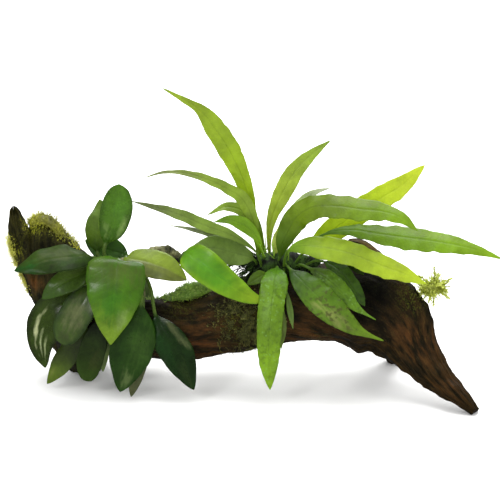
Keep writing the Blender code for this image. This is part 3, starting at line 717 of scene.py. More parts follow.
@dataclass(frozen=True)
class Leaf:
    """One leaf on its stalk.

    Attributes:
        name: what the leaf is called.
        stalk: places of the stalk's points in the front view.
        blade: places of the blade's points.
        width: full width of the blade in mm.
        face_base: where the upper side looks at the base.
        face_tip: where it looks at the tip.
        outline: the blade's shape.
        lobe: how far the heart lobes reach back, in mm.
        rise: how much the edges rise, as a share of the half width.
        finish: colours of the leaf.
    """

    name: str
    stalk: tuple[Spot, ...]
    blade: tuple[Spot, ...]
    width: float
    face_base: Spot
    face_tip: Spot
    outline: Outline
    lobe: float
    rise: float
    finish: LeafFinish

    STALK_ROWS, COLUMNS = 22, 27
    ROW_STEP = 1.1         # mm between the rows of a blade
    OPENING = 3.0          # mm over which the stalk opens into the blade
    ROUNDED = 0.03         # share of the blade over which its tip is rounded

    def frames(self, points: Array, shares: Array, split: float) -> tuple[Array, Array, Array, Array]:
        """Middle line, way ahead, upper side and side of the leaf.

        The upper side turns evenly from base to tip. The stalk keeps the blade's side, so it isn't
        twisted where it bends.

        Args:
            points: the stalk's and the blade's points in mm.
            shares: shares of the leaf's length.
            split: share at which the blade begins.

        Returns:
            One row for each share in each of the four.
        """
        def ahead_at(at: Array) -> Array:
            """Way ahead at shares of the length."""
            return unit(curve(points, np.minimum(at + 0.01, 1)) - curve(points, np.maximum(at - 0.01, 0)))

        def side_at(at: Array) -> Array:
            """Side of the blade at shares of the length."""
            face = (1 - at)[:, None] * np.array(self.face_base) + at[:, None] * np.array(self.face_tip)
            return unit(np.cross(ahead_at(at), face))

        ahead = ahead_at(shares)
        side = side_at(np.maximum(shares, split))
        side = unit(side - (side * ahead).sum(1)[:, None] * ahead)
        return curve(points, shares), ahead, np.cross(side, ahead), side

    def skin(self, kind: LeafKind, rumple: Rumple) -> Skin:
        """The leaf as one closed surface.

        Along the stalk the cross-section is a circle. It opens into a thin lens: the middle height is
        the rise times the half width times the square of the share across, plus waves along the edges,
        and half the thickness lies above and below it, less a groove above and plus a rib below that
        fade as a bell curve from the midrib.

        Args:
            kind: the plant that the leaf belongs to.
            rumple: the random field.

        Returns:
            The leaf's skin.
        """
        points = np.vstack((place(self.stalk), place(self.blade)))
        walked = np.concatenate(([0], np.cumsum(np.linalg.norm(np.diff(points, axis=0), axis=1))))
        length, split = walked[-1], walked[len(self.stalk)] / walked[-1]
        blade_rows = int(np.clip(length * (1 - split) / self.ROW_STEP, 40, 130))
        t_rows = np.unique(np.concatenate((np.linspace(0, 0.08, 8), np.linspace(0.08, 0.94, blade_rows),
                                           1 - 0.06 * np.linspace(1, 0, 12) ** 2)))
        shares = np.concatenate((np.linspace(0, split, self.STALK_ROWS, endpoint=False),
                                 split + (1 - split) * t_rows))
        centre, ahead, face, side = self.frames(points, shares, split)
        t = np.clip((shares - split) / (1 - split), 0, 1)[:, None]
        reach = (shares * length)[:, None]

        across = np.linspace(-1, 1, self.COLUMNS)
        v = (across * (0.4 + 0.6 * np.abs(across)))[None]
        ending = dome(1 - t, self.ROUNDED)
        half = self.width / 2 * self.outline.half(t[:, 0])[:, None] * ending
        lane = np.stack(np.broadcast_arrays(reach, np.sign(v) * 40, kind.wave_length + 0 * v), -1)
        phase = 2 * math.pi * rumple.at(lane, (90, 7, 7))
        swing = np.sin(2 * math.pi * reach / kind.wave_length + phase + 1.9 * (v > 0) + self.width)
        strength = kind.wave * np.minimum(half / 6, 1.2) * ease(t, 0.02, 0.2)
        middle = self.rise * half * v ** 2 + strength * swing * np.abs(v) ** 1.8
        x = v * half * (1 + kind.fray * rumple.at(lane, (5, 7, 7), 3) * ease(t, 0.05, 0.2))
        bell = np.exp(-(x / kind.midrib) ** 2) * ease(t, 1.0, 0.75)
        deep = kind.half_thickness * (1 - 0.45 * t) * (1 - 0.8 * v ** 2) * (0.3 + 0.7 * ending)
        above = middle + deep - kind.groove * bell * ease(t, 0.0, 0.1)
        below = middle - deep - kind.rib * bell * (1 - t)

        opened = ease(reach, split * length - self.OPENING, split * length)
        circle = kind.stalk_radius * np.sqrt(1 - (0.96 * v) ** 2)
        x = (1 - opened) * kind.stalk_radius * v + opened * x
        above = (1 - opened) * circle + opened * above
        below = -(1 - opened) * circle + opened * below
        back = opened * self.lobe * (1 - t) ** 4 * v ** 2

        def ring(height: Array) -> Array:
            """Points of one side of the leaf."""
            return (centre[:, None] + x[..., None] * side[:, None] + height[..., None] * face[:, None]
                    - back[..., None] * ahead[:, None])

        signed = np.where(reach < split * length, reach / (split * length) - 1, t)

        def notes(under: float) -> tuple[Array, Array]:
            """Share across, share along, side, and the place on the skin in mm."""
            flat = np.broadcast_arrays(v, signed, np.full_like(x, under))
            return np.stack(flat, -1), np.stack(np.broadcast_arrays(x, reach, self.width + 0 * x), -1)

        (upper, upper_skin), (lower, lower_skin) = notes(0.0), notes(1.0)

        def closed(under_side: Array, upper_side: Array) -> Array:
            """The underside from right to left, then the upper side back, as one tube."""
            return np.concatenate((under_side[:, ::-1], upper_side), axis=1)[None]

        return Skin.tubes(closed(ring(below), ring(above)),
                          {"leaf": closed(lower, upper), "skin": closed(lower_skin, upper_skin)})


ANUBIAS_LEAVES = (
    Leaf("front_large", ((126, 264, 4), (122, 262, -14)), ((117, 260, -25), (115, 286, -36), (112, 318, -41),
         (110.5, 345, -39.5)), 43.5, (0, -0.6, 0.8), (0, -1.0, 0.1), Outline.BROAD, 4.5, -0.1,
         LeafFinish((50, 85, 5), tip=(85, 110, 20), rough=0.24, mottle=0.05, wet=0.6,
         patches=(TintOrSheen(0.0, 0.14, 1.2, 0.24, (60, 75, 25), 0.8),
         # The pale patch at -0.6 across near the tip is a painted sheen.
         TintOrSheen(0.1, 0.52, 0.7, 0.24, (40, 85, 10), 0.7), TintOrSheen(-0.6, 0.72, 0.4, 0.2, (100, 120, 60), 0.6),
         TintOrSheen(0.6, 0.3, 0.4, 0.25, (60, 85, 25), 0.5)))),
    Leaf("upright_bright", ((107, 262, 6), (104, 252, 4)), ((106, 242, 4), (113, 225, 4), (117, 207, 5),
         (119, 184, 8)), 23.5, (0.1, -0.95, 0.3), (0.1, -1.0, 0.1), Outline.ROUND, 1.0, 0.1,
         LeafFinish((55, 90, 5), rim=(45, 75, 5), base=(40, 70, 5), rough=0.2,
         # The pale patches at 0.72 and -0.4 across are painted highlights.
         patches=(TintOrSheen(0.72, 0.34, 0.26, 0.2, (130, 150, 85), 0.6),
         TintOrSheen(-0.4, 0.2, 0.4, 0.14, (110, 130, 70), 0.5), TintOrSheen(0.3, 0.6, 0.7, 0.4, (60, 100, 20), 0.6)))),
    Leaf("upright_back", ((104, 262, 11), (99, 258, 13)), ((97, 250, 14), (98, 232, 15), (101, 214, 17),
         (100, 199, 20)), 20.0, (-0.2, -0.9, 0.3), (-0.3, -1.0, 0.0), Outline.OVAL, 1.0, 0.1,
         LeafFinish((70, 95, 15), base=(40, 65, 5), rough=0.24,
         patches=(TintOrSheen(0.3, 0.6, 0.4, 0.2, (125, 155, 45), 0.5),
         TintOrSheen(-0.4, 0.75, 0.4, 0.14, (110, 140, 50), 0.4)))),
    Leaf("low_dark", ((128, 263, 12), (130, 258, 18)), ((126, 255, 22), (112, 251, 24), (99, 246, 25),
         (85, 240, 26)), 20.5, (0, -0.9, 0.35), (0, -0.95, 0.3), Outline.OVAL, 1.0, 0.08,
         LeafFinish((40, 75, 5), rough=0.3)),
    Leaf("left_upper", ((104, 264, -2), (98, 260, -10)), ((91, 257, -18), (72, 257, -28), (52, 259, -32),
         (33, 264, -34), (14, 271, -34)), 24.0, (-0.1, -0.55, 0.8), (-0.3, -0.7, 0.65), Outline.OVAL, 2.0,
         # The darker half colour is painted shade on one half of the blade.
         -0.08, LeafFinish((35, 55, 5), half=(30, 50, 5), rough=0.5, wet=0.3,
         patches=(TintOrSheen(0.3, 0.42, 0.7, 0.4, (55, 65, 30), 0.7),
         TintOrSheen(-0.1, 0.84, 0.8, 0.16, (20, 65, 10), 0.8), TintOrSheen(-0.8, 0.35, 0.4, 0.4, (20, 30, 5), 0.6)))),
    Leaf("left_lower", ((108, 266, -2), (100, 268, -12)), ((93, 270, -18), (76, 277, -25), (58, 286, -29),
         (42, 299, -30)), 19.0, (-0.1, -0.8, 0.6), (-0.3, -0.9, 0.4), Outline.OVAL, 2.0, 0.08,
         # The darker half colour is painted shade on one half of the blade.
         LeafFinish((50, 70, 10), tip=(40, 65, 5), half=(40, 60, 5), rough=0.36, wet=0.6,
         patches=(TintOrSheen(0.5, 0.4, 0.4, 0.25, (65, 80, 40), 0.5),))),
    Leaf("grey_green", ((112, 267, -2), (103, 278, -14)), ((92, 288, -21), (82, 304, -27), (71, 323, -29),
         (60, 343, -28)), 24.5, (-0.2, -0.95, 0.3), (-0.2, -1.0, 0.1), Outline.BLUNT, 2.0, 0.06,
         LeafFinish((45, 65, 10), rim=(30, 50, 5), rough=0.3,
         # The pale grey-green patch over the middle is a painted sheen.
         patches=(TintOrSheen(0.0, 0.48, 0.8, 0.34, (80, 85, 50), 0.7),
         TintOrSheen(0.1, 0.9, 0.6, 0.14, (40, 50, 15), 0.6)))),
    Leaf("lower_left_dark", ((116, 268, 1), (92, 282, -9)), ((76, 294, -14), (52, 312, -18), (41, 338, -18),
         (45, 368, -16)), 28.0, (-0.4, -0.9, 0.3), (-0.4, -1.0, 0.1), Outline.OVAL, 2.0, 0.1,
         LeafFinish((35, 50, 5), rim=(25, 35, 5), rough=0.2, wet=0.7,
         # The three pale streaks are painted reflections of the lights.
         patches=(TintOrSheen(0.4, 0.56, 0.12, 0.2, (170, 175, 130), 0.6),
         TintOrSheen(0.0, 0.68, 0.1, 0.14, (155, 165, 120), 0.5),
         TintOrSheen(-0.36, 0.74, 0.1, 0.16, (145, 155, 110), 0.5)))),
    Leaf("lower_left_small", ((117, 268, 6), (98, 308, -12)), ((86, 326, -15), (74, 345, -16),
         (60, 366, -14), (47, 384, -10)), 17.0, (-0.3, -0.95, 0.2), (-0.3, -1.0, 0.0), Outline.OVAL, 1.0,
         0.08, LeafFinish((40, 55, 5), tip=(70, 90, 5), rough=0.26,
         patches=(TintOrSheen(0.4, 0.8, 0.4, 0.1, (100, 105, 45), 0.4),))),
    Leaf("lower_middle", ((121, 268, 3), (106, 304, -20)), ((100, 322, -25), (95, 342, -27), (90, 360, -26),
         (86, 381, -23)), 19.9, (-0.1, -1.0, 0.2), (-0.1, -1.0, 0.0), Outline.BLUNT, 1.0, 0.08,
         LeafFinish((25, 40, 5), tip=(35, 55, 5), base=(10, 20, 5), rough=0.3, wet=0.5,
         patches=(TintOrSheen(-0.4, 0.62, 0.5, 0.2, (50, 55, 20), 0.4),))),
    Leaf("lower_middle_small", ((123, 268, 8), (110, 310, -14)), ((105, 326, -17), (103, 345, -18),
         (103, 358, -17), (103, 372, -15)), 9.5, (0.2, -1.0, 0.1), (0.2, -1.0, 0.0), Outline.OVAL, 0.5, 0.06,
         LeafFinish((95, 115, 55), rough=0.3)),
    Leaf("hanging_front", ((131, 267, 2), (142, 292, -20)), ((140, 308, -27), (135, 334, -34),
         (128, 362, -36), (120, 392, -35)), 32.9, (0.1, -0.95, 0.3), (0, -1.0, 0.1), Outline.OVAL, 2.0, -0.1,
         # The pale patch near the tip, 0.84 along, is a painted highlight.
         LeafFinish((25, 50, 5), rough=0.22, wet=0.6, patches=(TintOrSheen(-0.4, 0.4, 0.7, 0.3, (45, 70, 20), 0.6),
         TintOrSheen(-0.2, 0.84, 0.5, 0.14, (90, 105, 60), 0.5), TintOrSheen(0.6, 0.6, 0.5, 0.4, (15, 35, 5), 0.5)))),
    Leaf("hanging_back", ((135, 267, 4), (143, 300, -16)), ((142, 322, -22), (139, 348, -26),
         (136, 374, -28), (131, 397, -28)), 15.0, (0.2, -0.95, 0.2), (0, -1.0, 0.1), Outline.OVAL, 1.0, 0.08,
         LeafFinish((65, 70, 35), rough=0.3)),
    Leaf("dark_right", ((141, 266, 2), (151, 290, -15)), ((156, 317, -21), (164, 332, -28), (177, 353, -34),
         (194, 390, -37)), 25.0, (0.2, -0.9, 0.4), (0.2, -1.0, 0.1), Outline.OVAL, 1.0, -0.08,
         LeafFinish((15, 35, 5), rough=0.2, wet=0.6,
         # The pale patch along the edge at -0.7 across is a painted highlight.
         patches=(TintOrSheen(-0.7, 0.3, 0.26, 0.24, (90, 95, 60), 0.5),
         TintOrSheen(0.6, 0.3, 0.5, 0.5, (15, 45, 10), 0.6), TintOrSheen(0.1, 0.8, 0.5, 0.2, (35, 50, 15), 0.5)))),
    Leaf("above_gap", ((132, 262, 1), (126, 257, -4)), ((126, 258, -8), (143, 261, -12), (165, 268, -16),
         (187, 280, -18)), 23.0, (0.1, -0.55, 0.85), (0.1, -0.9, 0.45), Outline.OVAL, 1.0, 0.06,
         # The lighter half colour is painted light on the upper half of the blade.
         LeafFinish((90, 100, 35), half=(110, 130, 30), base=(100, 120, 25), glow=0.2, rough=0.3,
         patches=(TintOrSheen(0.7, 0.5, 0.4, 0.4, (75, 85, 35), 0.6),))),
    Leaf("young_bright", ((180, 259, 5), (182, 256, -8)), ((186, 253, -19), (204, 266, -29), (228, 284, -34),
         (250, 297, -36), (269, 303, -36)), 24.5, (0.1, -0.8, 0.6), (0.1, -0.95, 0.3), Outline.BROAD, 1.5,
         0.08, LeafFinish((80, 130, 5), tip=(125, 155, 5), rim=(105, 145, 5), glow=0.35, rough=0.28,
         mottle=0.03, patches=(TintOrSheen(0.0, 0.35, 0.6, 0.25, (70, 130, 15), 0.6),))),
    Leaf("back_left", ((104, 266, 12), (96, 262, 32)), ((92, 264, 44), (76, 276, 58), (64, 298, 66),
         (60, 326, 66)), 27.0, (-0.3, 0.8, 0.5), (-0.2, 1.0, 0.1), Outline.OVAL, 2.0, 0.08,
         LeafFinish((55, 85, 30), rough=0.3)),
    Leaf("back_middle", ((124, 267, 14), (118, 262, 30)), ((116, 266, 44), (110, 286, 58), (108, 312, 64),
         (112, 342, 62)), 26.0, (0.0, 0.85, 0.5), (0, 1.0, 0.1), Outline.OVAL, 2.0, 0.08,
         LeafFinish((60, 90, 35), rough=0.3)),
    Leaf("back_right", ((143, 262, 12), (140, 260, 30)), ((139, 268, 43), (143, 296, 56), (160, 322, 60),
         (184, 340, 60)), 19.0, (0.3, 0.8, 0.5), (0.2, 1.0, 0.1), Outline.LANCE, 1.0, 0.08,
         LeafFinish((95, 130, 55))),
)

FERN_LEAVES = (
    Leaf("tall", ((264, 265, 13), (262, 260, 15)), ((260, 255, 17), (257, 242, 16), (254, 228, 15),
         (247, 192, 10), (235, 161, 4), (219, 134, -3), (200, 110, -9), (182, 99, -14), (162, 88, -18)),
         16.6, (-0.3, -0.9, 0.2), (-0.2, -0.7, 0.7), Outline.TALL, 0, 0.12, LeafFinish((140, 165, 20),
         tip=(125, 145, 30), base=(110, 140, 15), mottle=0.06)),
    Leaf("arch_upper", ((259, 267, 12), (259, 261, 11)), ((258, 255, 10), (256, 238, 6), (253, 220, 4),
         (241, 198, 0), (222, 186, -5), (203, 178, -9), (184, 173, -12), (160, 173, -16), (144, 178, -18)),
         10.6, (-0.3, -0.7, 0.6), (0, -0.6, 0.8), Outline.ARCH, 0, 0.12, LeafFinish((125, 150, 40),
         tip=(105, 115, 55), base=(105, 135, 25), mottle=0.08)),
    Leaf("arch_lower", ((262, 268, 6), (260, 261, 1)), ((256, 252, -4), (245, 243, -8), (226, 233, -12),
         (206, 226, -16), (188, 218, -19), (168, 211, -22), (150, 206, -24), (131, 201, -26)), 9.6,
         (-0.1, -0.8, 0.6), (0, -0.8, 0.6), Outline.LANCE, 0, 0.12, LeafFinish((110, 135, 45),
         tip=(90, 100, 55), base=(85, 110, 30), mottle=0.1)),
    Leaf("thin_tip_left", ((260, 267, 12), (251, 253, 14)), ((240, 245, 13), (214, 236, 10), (190, 229, 6),
         (168, 225, 2)), 3.8, (-0.1, -0.8, 0.6), (0, -0.8, 0.6), Outline.LANCE, 0, 0.1,
         LeafFinish((100, 115, 65), tip=(125, 135, 100))),
    Leaf("arch_small", ((266, 266, 14), (266, 261, 18)), ((265, 255, 20), (262, 241, 21), (257, 226, 21),
         (243, 211, 18), (226, 207, 15), (207, 215, 12)), 10.0, (-0.2, -0.7, 0.7), (-0.3, -0.7, 0.6),
         Outline.LONG, 0, 0.1, LeafFinish((115, 140, 35), base=(95, 120, 25))),
    Leaf("arch_low_small", ((264, 267, 10), (264, 261, 7)), ((263, 255, 4), (260, 245, 2), (255, 235, 1),
         (242, 224, -2), (230, 220, -5), (214, 222, -8)), 10.5, (-0.2, -0.8, 0.6), (-0.3, -0.8, 0.5),
         Outline.LONG, 0, 0.1, LeafFinish((110, 150, 10), tip=(95, 130, 20))),
    Leaf("upper_right", ((272, 265, 14), (271, 260, 14)), ((270, 255, 14), (269, 240, 14), (271, 222, 14),
         (284, 190, 16), (296, 170, 19), (311, 155, 22), (331, 140, 26)), 14.4, (0.2, -0.9, 0.3),
         (0.2, -0.8, 0.5), Outline.LONG, 0, 0.1, LeafFinish((145, 165, 45), tip=(120, 145, 40),
         base=(130, 145, 40), mottle=0.06)),
    Leaf("wide_middle", ((276, 266, 6), (278, 261, 4)), ((280, 256, 2), (283, 243, -2), (288, 231, -4),
         (299, 215, -9), (314, 207, -14), (336, 206, -19), (360, 209, -23), (385, 212, -25), (402, 218, -27),
         (418, 231, -28)), 19.5, (0, -0.8, 0.6), (0.2, -0.7, 0.7), Outline.STRAP, 0, -0.1,
         LeafFinish((95, 120, 5), tip=(110, 145, 5), base=(65, 95, 5), mottle=0.08,
         patches=(TintOrSheen(-0.7, 0.6, 0.3, 0.3, (115, 135, 45), 0.5),))),
    Leaf("long_right", ((294, 265, 5), (307, 248, 0)), ((325, 234, -5), (350, 230, -9), (380, 234, -13),
         (410, 238, -17), (440, 242, -19), (470, 248, -21), (503, 259, -22)), 19.6, (0, -0.6, 0.8),
         (0, -0.7, 0.7), Outline.LANCE, 0, -0.1, LeafFinish((100, 135, 5), tip=(120, 155, 5),
         base=(70, 105, 5), mottle=0.08, patches=(TintOrSheen(-0.6, 0.6, 0.4, 0.3, (120, 145, 40), 0.5),))),
    Leaf("bright_backlit", ((290, 265, 13), (299, 257, 12)), ((308, 249, 10), (324, 237, 7), (348, 219, 5),
         (378, 200, 6), (402, 185, 8), (425, 165, 12)), 19.0, (-0.1, -0.9, 0.3), (0, -0.9, 0.4),
         Outline.STRAP, 0, 0.08, LeafFinish((170, 190, 25), tip=(185, 195, 45), base=(145, 170, 25),
         glow=0.5, mottle=0.08)),
    Leaf("curled_tip", ((282, 265, 15), (283, 260, 16)), ((283, 255, 18), (286, 240, 19), (289, 226, 20),
         (300, 205, 20), (314, 193, 19), (330, 188, 17)), 9.0, (0, -0.8, 0.6), (0.2, -0.7, 0.7),
         Outline.LONG, 0, 0.1, LeafFinish((165, 190, 100), tip=(150, 155, 130))),
    Leaf("bright_right", ((284, 266, 0), (285, 258, -6)), ((289, 250, -12), (302, 246, -17), (322, 247, -22),
         (350, 253, -28), (375, 263, -32), (400, 272, -35), (426, 284, -37)), 18.9, (0, -0.75, 0.65),
         (0, -0.8, 0.6), Outline.STRAP, 0, -0.1, LeafFinish((140, 165, 30), tip=(170, 190, 35),
         base=(100, 135, 25), glow=0.4, mottle=0.06)),
    Leaf("hanging", ((276, 269, 3), (277, 267, -3)), ((277, 268, -11), (275.5, 276, -26), (272, 301, -39),
         (269, 335, -44), (269, 364, -44), (270, 390, -42.5)), 18.8, (0, -0.6, 0.8), (0, -1.0, 0.1),
         Outline.TONGUE, 0, -0.1, LeafFinish((90, 125, 5), tip=(120, 160, 5), base=(70, 115, 5), mottle=0.3,
         dots=0.25, patches=(TintOrSheen(0.3, 0.42, 0.4, 0.12, (115, 150, 65), 0.5),))),
    Leaf("spotted_large", ((288, 266, 2), (288, 267, -10)), ((292, 271, -22), (314, 292, -36),
         (336, 313, -42), (358, 330, -44), (384, 341, -44)), 22.5, (0.2, -0.85, 0.5), (0.2, -0.9, 0.4),
         Outline.TAIL, 0, -0.1, LeafFinish((75, 110, 5), tip=(95, 125, 10), base=(40, 70, 5), mottle=0.25,
         spots=0.7, patches=(TintOrSheen(0.3, 0.52, 0.6, 0.2, (125, 135, 65), 0.8),))),
    Leaf("behind_spotted", ((297, 266, 2), (302, 265, -10)), ((311, 269, -18), (327, 278, -26),
         (342, 292, -31), (357, 308, -34), (376, 320, -36)), 14.0, (0.2, -0.85, 0.5), (0.2, -0.9, 0.4),
         Outline.TAIL, 0, -0.08, LeafFinish((80, 115, 10), tip=(95, 135, 20), base=(60, 85, 5), mottle=0.3,
         dots=0.15)),
    Leaf("narrow_hanging", ((284, 269, 2), (285, 280, -16)), ((287, 291, -23), (289, 304, -27),
         (291, 316, -29), (293, 329, -29)), 4.5, (0, -0.95, 0.3), (0, -1.0, 0.1), Outline.LANCE, 0, 0.05,
         LeafFinish((105, 135, 55))),
    Leaf("behind_hanging", ((279, 270, 4), (280, 284, -16)), ((280, 298, -25), (281, 314, -30),
         (282, 332, -33), (281, 350, -34)), 7.0, (0.2, -0.95, 0.3), (0.1, -1.0, 0.1), Outline.LANCE, 0, 0.08,
         LeafFinish((95, 115, 40))),
    Leaf("small_dark_left", ((272, 269, 4), (270, 271, -10)), ((267, 273, -16), (261, 276, -21),
         (254, 280, -25), (247, 285, -28)), 10.0, (-0.2, -0.8, 0.6), (-0.2, -0.8, 0.5), Outline.OVAL, 0,
         0.08, LeafFinish((65, 90, 10), rough=0.5, mottle=0.25, wet=0.4)),
    Leaf("dark_blue_right", ((306, 265, 2), (315, 261, -6)), ((325, 262, -13), (340, 271, -20),
         (352, 286, -26), (365, 306, -29)), 13.0, (0.3, -0.75, 0.6), (0.3, -0.9, 0.4), Outline.STRAP, 0,
         0.06, LeafFinish((50, 80, 5), mottle=0.3)),
    Leaf("dark_behind", ((312, 264, 8), (320, 256, 8)), ((328, 254, 5), (340, 256, -3), (352, 264, -9),
         (364, 275, -12)), 9.0, (0.2, -0.75, 0.6), (0.2, -0.8, 0.5), Outline.STRAP, 0, 0.06,
         LeafFinish((40, 60, 5), mottle=0.3, wet=0.5)),
    Leaf("olive_left", ((258, 268, 10), (256, 262, 4)), ((253, 259, 0), (234, 253, -4), (211, 248, -8),
         (188, 251, -12)), 21.0, (0, -0.75, 0.65), (0, -0.8, 0.6), Outline.OVAL, 0, 0.06,
         LeafFinish((95, 120, 45), mottle=0.15)),
    Leaf("inner_green", ((270, 267, 6), (272, 261, 8)), ((274, 255, 9), (278, 243, 7), (282, 234, 6),
         (291, 221, 4), (304, 210, 3)), 10.5, (0.1, -0.9, 0.4), (0.2, -0.9, 0.4), Outline.OVAL, 0, 0.08,
         LeafFinish((170, 185, 85), mottle=0.2)),
    Leaf("back_left", ((268, 268, 18), (264, 262, 34)), ((258, 268, 46), (246, 288, 62), (238, 314, 70),
         (234, 338, 70)), 14.0, (-0.2, 0.8, 0.5), (-0.1, 1.0, 0.1), Outline.LANCE, 0, 0.08,
         LeafFinish((100, 130, 45))),
    Leaf("back_middle", ((288, 266, 18), (290, 260, 34)), ((294, 266, 48), (300, 284, 64), (304, 308, 72),
         (306, 332, 70)), 15.0, (0.1, 0.8, 0.5), (0, 1.0, 0.1), Outline.LANCE, 0, 0.08,
         LeafFinish((90, 125, 40))),
    Leaf("back_right", ((308, 264, 16), (322, 258, 30)), ((334, 260, 44), (352, 274, 60), (368, 296, 70),
         (380, 322, 72)), 14.0, (0.3, 0.8, 0.5), (0.2, 1.0, 0.1), Outline.LANCE, 0, 0.08,
         LeafFinish((95, 130, 15))),
)


@dataclass(frozen=True)
class Stain:
    """A soft round patch, seen in the front view: centre, radius in squares, and strength."""

    across: float
    down: float
    radius: float
    strength: float = 1.0

    def cover(self, seen: Array) -> Array:
        """How much of the patch covers points at these squares: a bell curve of the distance."""
        away = np.hypot(seen[..., 0] - self.across, seen[..., 1] - self.down)
        return self.strength * np.exp(-(away / self.radius) ** 2)


@dataclass(frozen=True)
class WoodFinish:
    """Colours of wet driftwood, 0 to 255. Red and moss patches, and darkening that is partly darker wood and
    partly painted shade, come with the surface.
    """

    dark: Colour = (21, 16, 2)
    brown: Colour = (43, 31, 6)
    red: Colour = (80, 46, 16)
    moss: Colour = (74, 80, 20)
    pale: Colour = (78, 66, 30)

    def material(self, name: str) -> bpy.types.Material:
        """The wood's finish: fibres are noise that is stretched along the limb.

        Args:
            name: name of the material.

        Returns:
            The material.
        """
        recipe = Recipe(name)
        red, moss, dark_and_shade = recipe.split("tone")
        fibres = recipe.noise(recipe.attribute("grain", (1, 1, 0.2)), 0.75, 4.0)
        bands = recipe.noise(recipe.attribute("grain", (1, 1, 0.45)), 0.14, 4.0)
        pits = recipe.noise(recipe.attribute("grain"), 0.9, 3.0)
        colour = recipe.mix(recipe.ease(bands, 0.36, 0.68), self.dark, self.brown)
        colour = recipe.mix(red * recipe.ease(bands + fibres * 0.3, 0.45, 0.95), colour, self.red)
        colour = recipe.mix(recipe.ease(fibres, 0.56, 0.72) * 0.25, colour, self.pale)
        tufts = recipe.ease(pits + recipe.noise(recipe.attribute("grain"), 0.3, 3.0) * 0.6, 0.78, 0.95)
        colour = recipe.mix(moss * tufts, colour, self.moss)
        # The darkening is partly darker wood and partly painted shade where leaves hang over the wood.
        colour = recipe.shade(colour, (0.55 + fibres * 0.45 + pits * 0.45) * (1 - dark_and_shade * 0.75))
        height = fibres * 0.7 + pits * 0.8 + moss * tufts * 0.8
        return recipe.finish({
            "Base Color": colour, "Roughness": 0.42 + fibres * 0.3 + moss * 0.2,
            "Normal": recipe.bump(height, 0.8), "Specular IOR Level": 0.1,
        })


TUCK = 4.0             # mm that a limb dives into its neighbour at a fork
SCARS = 3.6            # mm between the leaf scars of a creeping stem


